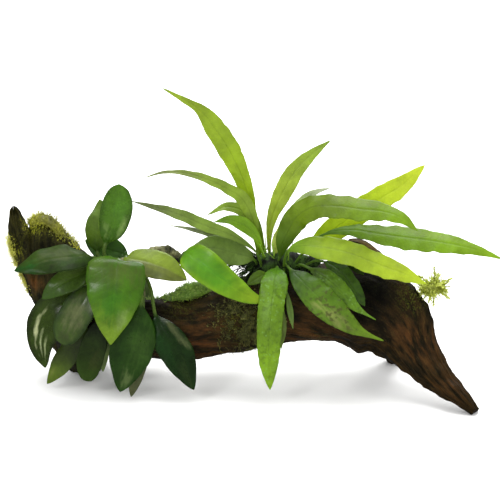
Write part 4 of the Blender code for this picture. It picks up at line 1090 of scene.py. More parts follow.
@dataclass(frozen=True)
class Limb:
    """One limb of the driftwood, a tube of uneven ovals along a path.

    Attributes:
        name: what the limb is called.
        spec: squares across and down, depth, half thickness in the view and half depth in mm.
        start: where on the path the limb begins, as a share.
        end: where it ends.
        tuck_start: whether it dives into its neighbour at its start.
        tuck_end: whether it does at its end.
        round_start: length over which the start is rounded, in mm.
        round_end: length over which the end is rounded.
        ragged: how far splinters stand out at the start, in mm.
        relief: strength of the knobs and grooves.
        wobble: height of the waves round each oval, as a share of its radius.
        finish: the wood's colours.
    """

    name: str
    spec: tuple[tuple[float, ...], ...]
    start: float = 0.0
    end: float = 1.0
    tuck_start: bool = False
    tuck_end: bool = False
    round_start: float = 0.0
    round_end: float = 0.0
    ragged: float = 0.0
    relief: float = 1.0
    wobble: float = 0.06
    finish: WoodFinish = WoodFinish()

    def ovals(self, shares: Array, turn: Array, round_off: Array) -> tuple[Array, Array, Array]:
        """The limb's plain ovals.

        The radius is that of the oval times one plus two waves, three and five to a turn, that twist
        slowly along the limb.

        Args:
            shares: shares of the whole path.
            turn: angles round the limb.
            round_off: factor on the radius for each share.

        Returns:
            A grid of points, the way out of the limb at each, and its way ahead at each share.
        """
        spec = np.array(self.spec, float)
        points = np.hstack((place(spec[:, :3]), spec[:, 3:5]))
        rows = curve(points, shares)
        centre = rows[:, :3]
        further = curve(points, np.minimum(shares + 0.05, 1))[:, :3]
        ahead = unit(further - curve(points, np.maximum(shares - 0.05, 0))[:, :3])
        across = unit(np.array((0.0, 1.0, 0.0)) - ahead[:, 1:2] * ahead)
        upward = np.cross(across, ahead)
        along = (shares * 9.0)[:, None]
        ridge = 1 + self.wobble * (np.sin(3 * turn + along) + 0.7 * np.sin(5 * turn - 1.3 * along + 1))
        ridge = ridge * round_off[:, None]
        rise = (rows[:, 3:4] * ridge * np.sin(turn))[..., None] * upward[:, None]
        spread = (rows[:, 4:5] * ridge * np.cos(turn))[..., None] * across[:, None]
        points = centre[:, None] + rise + spread
        return points, unit(points - centre[:, None]), ahead

    def length(self) -> float:
        """Length of the whole path in mm."""
        return float(np.linalg.norm(np.diff(place(np.array(self.spec)[:, :3]), axis=0), axis=1).sum())

    def skin(self, rumple: Rumple, stains: "Stains", step: float = 0.85) -> Skin:
        """The limb's surface with knobs, grooves and cracks.

        Points move away from the middle line by noise in space for the knobs, by noise that is
        stretched along the limb for the grooves, and inwards by a bell curve round the zero line of
        a third noise for the cracks.

        Args:
            rumple: the random field.
            stains: the patches of colour.
            step: size of the grid's cells in mm.

        Returns:
            The limb's skin.
        """
        full = self.length()
        margin = TUCK / full
        start = self.start - margin * self.tuck_start
        end = self.end + margin * self.tuck_end
        rows = int((end - start) * full / step)
        widest = max(row[3] + row[4] for row in self.spec) / 2
        columns = int(2 * math.pi * widest / step)
        shares = np.linspace(start, end, rows)
        turn = around(columns)
        walked, left = (shares - start) * full, (end - shares) * full
        round_off = np.ones(rows)
        for away, reach in ((walked, self.round_start), (left, self.round_end)):
            if reach:
                round_off = round_off * dome(away, reach)
        for away, tucked in ((walked, self.tuck_start), (left, self.tuck_end)):
            if tucked:
                round_off = round_off * (1 - 0.12 * np.clip(1 - away / TUCK, 0, 0.995) ** 2)
        points, outward, ahead = self.ovals(shares, turn, round_off)
        along = np.broadcast_to((shares * full)[:, None], points.shape[:2])
        twist = turn + along / 130
        grain = np.stack((widest * np.cos(twist), widest * np.sin(twist), along), -1)
        knobs = rumple.at(points, 24, 2) + 0.5 * rumple.at(points + 50, 9, 1)
        grooves = rumple.at(grain + 40, (7, 7, 60), 3)
        cracks = np.exp(-(rumple.at(grain + 90, (9, 9, 110)) / 0.07) ** 2)
        fine = rumple.at(points, 2.6, 2)
        lumps = rumple.at(points + 80, 5.5, 2)
        relief = self.relief * (1.5 * knobs + 0.8 * grooves - 0.8 * cracks + 0.55 * lumps) + 0.22 * fine
        points = points + (relief * np.minimum(1.0, round_off * 1.2)[:, None])[..., None] * outward
        if self.ragged:
            splinters = self.ragged * (0.4 + rumple.at(grain * (1, 1, 0) + 7, (2.5, 2.5, 1), 2))
            points = points - (splinters * np.exp(-walked / 3.0)[:, None])[..., None] * ahead[:, None]
        kept = points[..., 2].max(axis=1) > 0.4
        points = points[kept]
        points[..., 2] = np.maximum(points[..., 2], 0.0)
        return Skin.tubes(points[None], {"grain": grain[kept][None], "tone": stains.tones(points)[None],
                                         "outward": outward[kept][None]})

    def build(self, rumple: Rumple, stains: "Stains") -> None:
        """Makes the limb and puts it in place of its CAD node.

        Args:
            rumple: the random field.
            stains: the patches of colour.
        """
        skin = self.skin(rumple, stains)
        del skin.values["outward"]
        name = self.name + "_wood"
        add_piece(name, "driftwood_" + self.name, skin, self.finish.material(name))


@dataclass(frozen=True)
class Stains:
    """Patches of red heartwood, moss film, and darkening on the driftwood: darker wood, and painted shade
    where leaves hang over it.
    """

    red: tuple[Stain, ...]
    moss: tuple[Stain, ...]
    dark_and_shade: tuple[Stain, ...]

    def tones(self, points: Array) -> Array:
        """The patches' sum for each colour, cut at 1.

        Args:
            points: places in mm.

        Returns:
            Strength of red, moss, and darkening of darker wood and painted shade at each point.
        """
        seen = squares(points)
        return np.stack([np.clip(sum(stain.cover(seen) for stain in group), 0, 1)
                         for group in (self.red, self.moss, self.dark_and_shade)], -1)


@dataclass(frozen=True)
class Driftwood:
    """The root: a stump with a broken horn, a trunk, the right leg, a shoulder and two hidden feet."""

    fork: float = 0.545
    main: tuple[tuple[float, ...], ...] = (
        (78, 322, 15, 17, 18), (110, 326, 12, 21, 24), (150, 327, 9, 23, 26), (190, 326.5, 8, 22.8, 26),
        (230, 317, 8, 26, 27), (270, 309, 8, 28, 28), (310, 306, 9, 28.5, 29), (346, 305, 8, 31.5, 29),
        (371, 311, 5, 35, 28), (391, 319, -1, 30, 25), (407, 337, -9, 23.5, 21), (420, 355, -19, 16.8, 17),
        (445, 383, -38, 10.5, 11), (460, 397, -49, 6.5, 8.5), (475, 412, -57, 4, 6))
    stump: tuple[tuple[float, ...], ...] = (
        (41, 219, 10, 7, 9), (43, 233, 11, 13.6, 17), (50.5, 252, 13, 19.8, 23), (62, 277, 16, 27, 28),
        (73, 306, 22, 27.5, 29), (80, 332, 30, 23, 24), (85, 353, 38, 16, 18), (89, 374, 46, 10, 13))
    horn: tuple[tuple[float, ...], ...] = (
        (14, 212, 4, 1.8, 2.4), (15.5, 219, 4, 4.4, 5.6), (19, 231, 5, 8.0, 9), (25, 250, 7, 9.5, 12),
        (36, 272, 10, 11, 14), (50, 296, 14, 13, 16))
    shoulder: tuple[tuple[float, ...], ...] = (
        (372, 302, 16, 15, 14), (371, 276, 17, 16.5, 15), (367, 258, 18, 12, 12), (358, 247, 18, 7, 8),
        (347, 241, 18, 2.6, 4))
    front_foot: tuple[tuple[float, ...], ...] = (
        (140, 330, 8, 13, 14), (134, 350, 10, 12.5, 14), (130, 370, 11, 9, 12), (129, 391, 12, 6.5, 9))
    back_root: tuple[tuple[float, ...], ...] = (
        (368, 310, 18, 15, 14), (381, 330, 34, 13, 13), (391, 346, 47, 9, 10), (398, 368, 58, 6.5, 8))
    stains: Stains = Stains(
        red=(Stain(204, 338, 22), Stain(178, 350, 14, 0.7), Stain(424, 346, 20, 0.8),
             Stain(400, 330, 18, 0.5), Stain(33, 284, 10), Stain(330, 338, 24, 0.6),
             Stain(450, 388, 22, 0.5), Stain(300, 330, 20, 0.5)),
        moss=(Stain(243, 322, 20, 0.9), Stain(412, 298, 14, 0.7), Stain(180, 300, 16, 0.7),
              Stain(322, 346, 14, 0.5), Stain(34, 225, 9), Stain(62, 228, 10, 0.7), Stain(12, 250, 9, 0.8),
              Stain(270, 330, 14, 0.4), Stain(375, 268, 18, 0.3)),
        # Darkening: painted shade under the anubias, under the fern crown and under the fern leaves at the
        # shoulder's base; darker wood on the stump and horn.
        dark_and_shade=(Stain(372, 298, 26), Stain(150, 305, 18, 0.8), Stain(40, 250, 20, 0.7),
               Stain(335, 320, 18, 0.7), Stain(369, 277, 14, 0.9),
               Stain(100, 330, 50, 0.6), Stain(280, 265, 26, 0.8), Stain(20, 240, 10, 0.5)))

    mossy: WoodFinish = WoodFinish((20, 20, 3), (44, 42, 8), (80, 46, 16), (176, 182, 44))
    dry: WoodFinish = WoodFinish((36, 29, 11), (88, 70, 33), (88, 54, 20), (104, 106, 38), (120, 102, 58))

    def limbs(self) -> tuple[Limb, ...]:
        """The limbs, split at the main forks.

        Returns:
            The stump first, then the others.
        """
        return (
            Limb("stump", self.stump, round_start=7.0, finish=self.mossy),
            Limb("horn", self.horn, round_start=1.5, ragged=4.0, relief=1.3, finish=self.mossy),
            Limb("trunk", self.main, 0.0, self.fork, tuck_end=True),
            Limb("right_leg", self.main, self.fork, 1.0, tuck_start=True),
            Limb("shoulder", self.shoulder, round_end=3.0, relief=0.7, finish=self.dry),
            Limb("front_foot", self.front_foot, relief=0.7),
            Limb("back_root", self.back_root, relief=0.7))

    def build(self, rumple: Rumple) -> None:
        """Makes every limb."""
        for limb in self.limbs():
            limb.build(rumple, self.stains)


@dataclass(frozen=True)
class RootFinish:
    """Look of a creeping stem or a root.

    Attributes:
        dark: colour of its shaded parts, 0 to 255.
        pale: colour of its worn parts.
        rough: the least roughness.
        fresh: colour of its young shoots.
    """

    dark: Colour
    pale: Colour
    rough: float = 0.45
    fresh: Colour = (122, 160, 50)

    def material(self, name: str) -> bpy.types.Material:
        """Bark with rings across it; the strand attribute holds shade, place along and kind.

        Args:
            name: name of the material.

        Returns:
            The material.
        """
        recipe = Recipe(name)
        shade, along, hair = recipe.split("strand")
        clouds = recipe.clouds(150.0, 4.0)
        rings = recipe.ease(abs(recipe.math("FRACT", along / SCARS + clouds * 0.3) - 0.5), 0.3, 0.5)
        colour = recipe.mix(recipe.ease(clouds + shade * 0.3, 0.52, 0.78), self.dark, self.pale)
        colour = recipe.mix(recipe.ease(hair, 1.2, 1.8), colour, self.fresh)
        bark = 1 - recipe.ease(hair, 0.2, 0.8)
        colour = recipe.shade(colour, 0.75 + shade * 0.5 - rings * bark * 0.2)
        return recipe.finish({
            "Base Color": colour, "Roughness": self.rough + clouds * 0.2,
            "Normal": recipe.bump(clouds - rings * 0.3, 0.6), "Specular IOR Level": 0.3})


@dataclass(frozen=True)
class Sprout:
    """Hair roots or young shoots of a creeping stem.

    Attributes:
        length: the longest, in mm.
        lean: added to the way in which each starts.
        bend: the way in which each bends.
        radius: at the start, in mm.
        mark: stored as the third number of the strand attribute, 1 for a root and 2 for a shoot.
    """

    length: float
    lean: Spot = (0.0, 0.0, 0.0)
    bend: Spot = (0.0, -0.25, -1.0)
    radius: float = 0.22
    mark: float = 1.0


BEARD = Sprout(23.0, (-1.3, 0.3, 0.2), radius=0.3)
SHOOT = Sprout(9.5, (0.0, -0.4, 1.2), (-0.1, -0.2, 0.4), 0.7, 2.0)


@dataclass(frozen=True)
class CreepingStem:
    """A rhizome with ring scars and fine hair roots that reach for the wood.

    Attributes:
        node: the CAD node that it stands for.
        spec: squares across and down, depth, half thickness in the view and half depth in mm.
        finish: its colours.
        hairs: how many hair roots it has.
        hair_length: the longest of them, in mm.
        seed: seed of its random numbers.
        beard: how many long roots hang at its start.
        shoots: how many young shoots stand next to them.
    """

    node: str
    spec: tuple[tuple[float, ...], ...]
    finish: RootFinish
    hairs: int
    hair_length: float
    seed: int
    beard: int = 0
    shoots: int = 0

    COLUMNS = 28
    ROW_STEP = 0.35        # mm between its rows of points
    ROUNDED = 2.5          # mm over which each end is rounded

    def skin(self, rumple: Rumple) -> Skin:
        """The stem: ovals whose radius steps at each leaf scar, and thin tubes for the hair roots.

        Args:
            rumple: the random field.

        Returns:
            The skin of the stem and its roots and shoots.
        """
        limb = Limb("stem", self.spec)
        full = limb.length()
        shares = np.linspace(0, 1, int(full / self.ROW_STEP))
        ends = dome(np.minimum(shares, 1 - shares) * full, self.ROUNDED, 0.99)
        scar = 1 + 0.04 * (1 - 2 * ((shares * full / SCARS) % 1.0))
        points, outward, ahead = limb.ovals(shares, around(self.COLUMNS), ends * scar)
        lumps = 0.5 * rumple.at(points, 2.4, 2) + 0.8 * rumple.at(points + 40, 6.0)
        points = points + lumps[..., None] * outward
        notes = np.stack(np.broadcast_arrays(0.5 + 0.4 * rumple.at(points, 5.0),
                                             (shares * full)[:, None], 0.0), -1)
        stem = Skin.tubes(points[None], {"strand": notes[None]})

        rng = np.random.default_rng(self.seed)
        ground, last = (points, outward, ahead), len(shares) - 4
        parts = [stem, self.sprouts(ground, (4, last), self.hairs, Sprout(self.hair_length), rng, rumple)]
        if self.beard:
            parts.append(self.sprouts(ground, (4, last // 5), self.beard, BEARD, rng, rumple))
            parts.append(self.sprouts(ground, (last // 5, last * 3 // 5), self.shoots, SHOOT, rng, rumple))
        return Skin.joined(parts)

    @staticmethod
    def sprouts(ground: tuple[Array, Array, Array], ends: tuple[int, int], count: int, kind: Sprout,
                rng: np.random.Generator, rumple: Rumple) -> Skin:
        """Thin tubes that start on the stem, leave it square and bend with the square of the way.

        Args:
            ground: the stem's points, the ways out of its surface and its way ahead.
            ends: first row of the stem that carries them, and the row past the last.
            count: how many.
            kind: their sizes and directions.
            rng: the random draws.
            rumple: the waver along each.

        Returns:
            The tubes.
        """
        points, outward, ahead = ground
        row = rng.integers(*ends, count)
        column = rng.integers(0, points.shape[1], count)
        root, out = points[row, column], outward[row, column]
        sideways = ahead[row] * rng.normal(0, 0.7, (count, 1)) + np.array(kind.lean)
        reach = kind.length * rng.uniform(0.5, 1.0, (count, 1, 1))
        s = np.linspace(0, 1, 7)[None, :, None]
        bend = s * (out + sideways)[:, None] * 0.6 + s * s * np.array(kind.bend) * 0.75
        path = (root - out * 0.4)[:, None] + reach * bend
        path = path + 0.5 * s * rumple.waver(path, 2.5, 31)
        shade = np.broadcast_to(rng.uniform(0, 1, (count, 1, 1)), path.shape[:2] + (1,))
        return strands(path, kind.radius * (1 - 0.6 * s[..., 0]), 4, shade[..., 0], kind.mark)

    def build(self, rumple: Rumple) -> None:
        """Makes the stem with its hairs."""
        name = self.node + "_bark"
        add_piece(name, self.node, self.skin(rumple), self.finish.material(name))


def strands(paths: Array, radius: ArrayLike, columns: int, shade: Array, mark: ArrayLike) -> Skin:
    """Thin round tubes along many paths at once.

    Two directions square to each path span its circles: the cross product of the way ahead with a
    fixed direction, and the cross product of the way ahead with that.

    Args:
        paths: strands x rows x 3.
        radius: radius for each strand and row, in mm.
        columns: points round each circle.
        shade: random shade from 0 to 1 for each strand and row.
        mark: third number of the strand attribute, the light on moss and the kind of a root.

    Returns:
        The tubes.
    """
    ahead = unit(np.gradient(paths, axis=1))
    first = unit(np.cross(ahead, np.array((0.31, 0.83, 0.47))))
    second = np.cross(ahead, first)
    turn = np.arange(columns) * 2 * math.pi / columns
    wide = np.broadcast_to(radius, paths.shape[:2])[..., None, None]
    circle = first[:, :, None] * np.cos(turn)[:, None] + second[:, :, None] * np.sin(turn)[:, None]
    rings = paths[:, :, None] + wide * circle
    along = np.broadcast_to(np.linspace(0, 1, paths.shape[1])[None, :, None], rings.shape[:3])
    notes = np.stack((np.broadcast_to(shade[..., None], rings.shape[:3]), along,
                      np.full(rings.shape[:3], mark)), -1)
    return Skin.tubes(rings, {"strand": notes})


@dataclass(frozen=True)
class SingleRoot:
    """A thin root that leaves the stem and runs along the wood.

    Attributes:
        node: the CAD node that it stands for.
        route: squares across and down, and depth in mm, of points on its way.
        radius: at its start, in mm.
        finish: its colours.
    """

    node: str
    route: tuple[Spot, ...]
    radius: float = 0.9
    finish: RootFinish = RootFinish((86, 88, 48), (150, 148, 104))

    def build(self, rumple: Rumple) -> None:
        """Makes the root as a tube that narrows towards its tip and wavers a little.

        Args:
            rumple: the random field.
        """
        shares = np.linspace(0, 1, 60)
        path = curve(place(self.route), shares)
        path = path + 0.35 * rumple.waver(path, 6.0, 19)
        radius = self.radius * (1 - 0.4 * shares) * (1 + 0.12 * rumple.at(path, 2.0))
        skin = strands(path[None], radius[None], 14, np.full((1, len(shares)), 0.6), 1.0)
        name = self.node + "_strand"
        add_piece(name, self.node, skin, self.finish.material(name))


@dataclass(frozen=True)
class MossFinish:
    """Colours of moss from its shaded depth to its tips, 0 to 255."""

    deep: Colour
    mid: Colour
    tip: Colour

    def material(self, name: str) -> bpy.types.Material:
        """Soft, dull green that gets paler towards each strand's tip, with a shade for each strand.

        Args:
            name: name of the material.

        Returns:
            The material.
        """
        recipe = Recipe(name)
        shade, along, light = recipe.split("strand")
        colour = recipe.mix(recipe.ease(along + shade * 0.3, 0.0, 0.6), self.deep, self.mid)
        colour = recipe.mix(recipe.ease(along * 0.7 + shade * 0.5, 0.5, 1.1), colour, self.tip)
        clouds = recipe.clouds(150.0, 2.0)
        colour = recipe.shade(colour, (0.6 + clouds * 0.8) * (0.18 + light * 0.82))
        return recipe.finish({"Base Color": colour, "Roughness": 0.55 + shade * 0.2,
                              "Normal": recipe.bump(clouds, 0.3)}, 0.25, self.tip)


@dataclass(frozen=True)
class MossKind:
    """Sizes of moss strands, in mm.

    Attributes:
        length: the longest strand.
        radius: half thickness at a strand's root.
        leaflets: how many leaflets a strand has.
        leaflet: length of a leaflet.
        curl: how far a strand curls, as a share of its length.
        wide: half width of a leaflet, as a share of its length.
    """

    length: float = 5.0
    radius: float = 0.16
    leaflets: int = 9
    leaflet: float = 1.1
    curl: float = 0.35
    wide: float = 0.17


def fronds(start: Array, way: Array, reach: Array, kind: MossKind, rng: np.random.Generator,
           light: ArrayLike = 1.0) -> Skin:
    """Moss strands with leaflets, many at once.

    A strand runs straight out and curls with the square of the way along. Its leaflets are slim spikes
    that leave it at a slant, each turned about the strand by a random angle.

    Args:
        start: roots of the strands in mm.
        way: unit directions.
        reach: lengths in mm.
        kind: sizes.
        rng: source of the random turns.
        light: how light each strand is, from 0 to 1.

    Returns:
        The skin of the strands and leaflets.
    """
    count = len(start)
    s = np.linspace(0, 1, 5)[None, :, None]
    curl = np.clip(rng.normal(0, kind.curl, (count, 1, 3)), -1.4 * kind.curl, 1.4 * kind.curl)
    reach = reach[:, None, None]
    paths = start[:, None] + reach * (s * way[:, None] + s * s * curl)
    shade = rng.uniform(0, 1, (count, 1))
    light = np.broadcast_to(light, (count,))[:, None, None]
    stems = strands(paths, kind.radius * (1 - 0.6 * s[..., 0]), 3, np.repeat(shade, 5, 1), light)

    at = np.linspace(0.2, 1.0, kind.leaflets)[None, :, None]
    base = start[:, None] + reach * (at * way[:, None] + at * at * curl)
    ahead = unit(way[:, None] + 2 * at * curl)
    loose = rng.normal(0, 1, (count, kind.leaflets, 3))
    out = unit(loose - (loose * ahead).sum(-1, keepdims=True) * ahead)
    side = np.cross(ahead, out)
    long = kind.leaflet * rng.uniform(0.6, 1.15, (count, kind.leaflets, 1)) * (1.15 - 0.4 * at)
    wide = long * kind.wide
    tip = base + long * (0.75 * out + 0.65 * ahead)
    corners = np.stack((base - wide * side, base + wide * side, base + wide * ahead, tip), axis=2)
    mark = np.broadcast_to(shade[:, None, :, None], corners.shape[:3] + (1,))
    where = np.broadcast_to(at[:, :, None], corners.shape[:3] + (1,))
    glow = np.broadcast_to(light[..., None], mark.shape)
    notes = np.concatenate((mark, where, glow), axis=-1)
    leaflets = Skin.spikes(corners.reshape(-1, 4, 3), {"strand": notes.reshape(-1, 4, 3)})
    return Skin.joined([stems, leaflets])


@dataclass(frozen=True)
class MossCushion:
    """A cushion of moss: a low rumpled body under a coat of strands.

    Attributes:
        name: what the cushion is called.
        spec: squares across and down, depth, half thickness in the view and half depth in mm.
        finish: its colours.
        strands: how many strands grow on it.
        kind: sizes of the strands.
        lean: direction that the strands lean to.
        seed: seed of its random numbers.
        bright: where the moss is light, seen in the front view.
        dim: how light it is elsewhere.
    """

    name: str
    spec: tuple[tuple[float, ...], ...]
    finish: MossFinish
    strands: int
    kind: MossKind
    lean: Spot
    seed: int
    bright: tuple[Stain, ...] = ()
    dim: float = 1.0

    ROWS, COLUMNS = 70, 44
    SHRUNK = 0.72          # size of the body under the strands, as a share of the ovals
    ROUNDED = 0.06         # share of its length over which each end is rounded

    def light(self, points: Array, rumple: Rumple) -> Array:
        """How light the moss is at points in mm: the bright places, with soft uneven edges."""
        covered = sum((stain.cover(squares(points)) for stain in self.bright), np.zeros(points.shape[:-1]))
        return np.clip(self.dim + (1 - self.dim) * covered * (1 + rumple.at(points + 5, 4.0)), 0, 1)

    def skin(self, rumple: Rumple) -> Skin:
        """The body's ovals are shrunk and rumpled, and the strands start all over them.

        Args:
            rumple: the random field.

        Returns:
            The skin of the body and its strands.
        """
        limb = Limb("body", self.spec, wobble=0.10)
        shares = np.linspace(0, 1, self.ROWS)
        ends = dome(np.minimum(shares, 1 - shares), self.ROUNDED, 0.99)
        points, outward, _ = limb.ovals(shares, around(self.COLUMNS), self.SHRUNK * ends)
        points = points + (0.6 * rumple.at(points, 3.0, 3))[..., None] * outward
        light = self.light(points, rumple)
        notes = np.stack(np.broadcast_arrays(0.5 + 0.5 * rumple.at(points, 2.0), 0.05, light), -1)
        body = Skin.tubes(points[None], {"strand": notes[None]})
        rng = np.random.default_rng(self.seed)
        row = rng.integers(0, self.ROWS, self.strands)
        column = rng.integers(0, self.COLUMNS, self.strands)
        way = unit(outward[row, column] + np.array(self.lean) + rng.normal(0, 0.45, (self.strands, 3)))
        start = points[row, column] + rng.normal(0, 0.5, (self.strands, 3)) - 0.6 * outward[row, column]
        reach = self.kind.length * rng.uniform(0.3, 1.0, self.strands) ** 1.6
        return Skin.joined([body, fronds(start, way, reach, self.kind, rng, light[row, column])])

    def build(self, rumple: Rumple) -> None:
        """Makes the cushion in place of its CAD node."""
        name = self.name + "_moss"
        add_piece(name, "moss_" + self.name, self.skin(rumple), self.finish.material(name))


@dataclass(frozen=True)
class MossFelt:
    """Short moss that grows sparsely out of the wood itself.

    Attributes:
        node: the CAD node that it stands for.
        limb: the limb that it grows on.
        patches: where it grows, seen in the front view.
        finish: its colours.
        strands: how many strands there are.
        kind: sizes of the strands.
        seed: seed of its random numbers.
    """

    node: str
    limb: Limb
    patches: tuple[Stain, ...]
    finish: MossFinish
    strands: int
    kind: MossKind
    seed: int

    def build(self, rumple: Rumple, stains: Stains) -> None:
        """Strands start at points of the limb's near side, drawn by the strength of the patches.

        Args:
            rumple: the random field.
            stains: the limb's patches of colour.
        """
        wood = self.limb.skin(rumple, stains)
        points, outward = wood.points, wood.values["outward"]
        seen = squares(points)
        chance = sum(patch.cover(seen) for patch in self.patches) * np.clip(-outward[:, 1], 0, 1)
        clump = np.clip(rumple.at(points + 17, 5.0, 2) * 2.4 + 0.4, 0.02, 1) ** 1.5
        rng = np.random.default_rng(self.seed)
        chance = chance * clump
        pick = rng.choice(len(points), self.strands, p=chance / chance.sum())
        way = unit(outward[pick] + np.array((0, 0, -0.25)) + rng.normal(0, 0.6, (self.strands, 3)))
        start = points[pick] - 0.4 * outward[pick] + rng.normal(0, 0.3, (self.strands, 3))
        reach = self.kind.length * rng.uniform(0.3, 1.0, self.strands)
        skin = fronds(start, way, reach, self.kind, rng, rng.uniform(0, 1, self.strands) ** 1.5)
        name = self.node + "_felt"
        add_piece(name, self.node, skin, self.finish.material(name))


@dataclass(frozen=True)
class MossTuft:
    """The star-like tuft at the right, on a short dark stem that leaves the wood.

    Attributes:
        centre: squares across and down, and depth in mm, of its middle.
        stem: points of the stem, given the same way.
        long: sizes of the fronds that make the star.
        short: sizes of those that fill its middle.
        short_count: how many of those there are.
        finish: its colours.
    """

    centre: Spot = (434, 287, -8)
    stem: tuple[Spot, ...] = ((419, 290, -10), (427, 289, -9), (434, 288, -8), (440, 287, -8))
    long: MossKind = MossKind(15.3, 0.35, 56, 3.4, 0.02, 0.2)
    short: MossKind = MossKind(15.3, 0.2, 26, 2.6, 0.1, 0.2)
    short_count: int = 150
    finish: MossFinish = MossFinish((126, 122, 38), (192, 204, 70), (220, 230, 112))

    def build(self) -> None:
        """Twelve long fronds point to the corners of an icosahedron, and short ones fill the middle.

        The corners are two poles and two rings of five at heights of one over the root of five. The
        short fronds leave the stem in directions that a golden turn spreads evenly.
        """
        rng = np.random.default_rng(5)
        middle = place([self.centre])
        shares = np.linspace(0, 1, 14)
        path = curve(place(self.stem), shares)
        stem = strands(path[None], 0.7 * (1 - 0.6 * shares)[None], 8, np.zeros((1, len(path))), 0.0)
        stem.values["strand"][:, 1] = 0.0
        count = self.short_count
        number = np.arange(count)
        high = 1 - 2 * (number + 0.5) / count
        turn = number * math.pi * (3 - math.sqrt(5))
        flat = np.sqrt(1 - high ** 2)
        way = unit(np.stack((flat * np.cos(turn), 0.7 * flat * np.sin(turn), high), -1)
                   + rng.normal(0, 0.15, (count, 3)))
        start = path[rng.integers(4, len(path), count)]
        away = np.linalg.norm(start - middle, axis=1)
        reach = (self.short.length - away) * rng.uniform(0.35, 0.9, count)
        five, root = np.arange(5) * 2 * math.pi / 5, math.sqrt(5)
        upper = np.stack((2 * np.cos(five), 2 * np.sin(five), np.ones(5)), -1) / root
        corners = np.vstack(((0, 0, 1), (0, 0, -1), upper, -upper))
        long = fronds(np.repeat(middle, 12, 0), corners, np.full(12, self.long.length), self.long, rng)
        skin = Skin.joined([stem, long, fronds(start, way, reach, self.short, rng)])
        name = "right_tuft_moss"
        add_piece(name, "moss_right_tuft", skin, self.finish.material(name))


YELLOW_MOSS = MossFinish((84, 80, 12), (214, 218, 44), (248, 248, 120))
HORN_MOSS = MossFinish((116, 112, 28), (198, 200, 70), (236, 236, 126))
DARK_MOSS = MossFinish((14, 16, 3), (66, 72, 20), (178, 180, 92))
GREEN_MOSS = MossFinish((60, 92, 18), (134, 176, 58), (196, 220, 110))
CUSHIONS = (
    MossCushion("stump_top", ((28.5, 223.5, 10, 3.2, 6), (38.5, 219.5, 10, 4.8, 10),
                              (48, 221.5, 10, 5.2, 12), (56, 230, 11, 5.2, 13),
                              (66, 240, 12, 4.8, 12), (78, 250, 12, 3.4, 8)),
                YELLOW_MOSS, strands=1700, kind=MossKind(5.5, 0.13, 9, 1.0), lean=(0.1, -0.1, 0.5), seed=11,
                bright=(Stain(32, 223, 9), Stain(46, 232, 4, 0.4), Stain(60, 226, 5, 0.5),
                        Stain(72, 246, 10, 0.7)), dim=0.15),
    MossCushion("horn_edge", ((11.5, 233, 4, 2.6, 4.5), (13, 245, 5, 4.0, 7), (18.5, 259, 6, 4.6, 8),
                              (26.5, 277, 8, 4.6, 9), (34.5, 293, 10, 2.8, 6)),
                HORN_MOSS, strands=1800, kind=MossKind(5.5, 0.12, 9, 0.9), lean=(-0.6, -0.1, 0.1), seed=12),
    MossCushion("trunk_top", ((144, 303, 8, 1.6, 6), (162, 301, 8, 3.0, 10), (176, 297, 8, 5.0, 10),
                              (188, 292, 8, 7.5, 10), (200, 290, 8, 8.0, 9), (213, 295, 8, 5.0, 6)),
                GREEN_MOSS, strands=1500, kind=MossKind(3.4), lean=(0, -0.1, 0.3), seed=13,
                bright=(Stain(184, 288, 14),), dim=0.7),
)


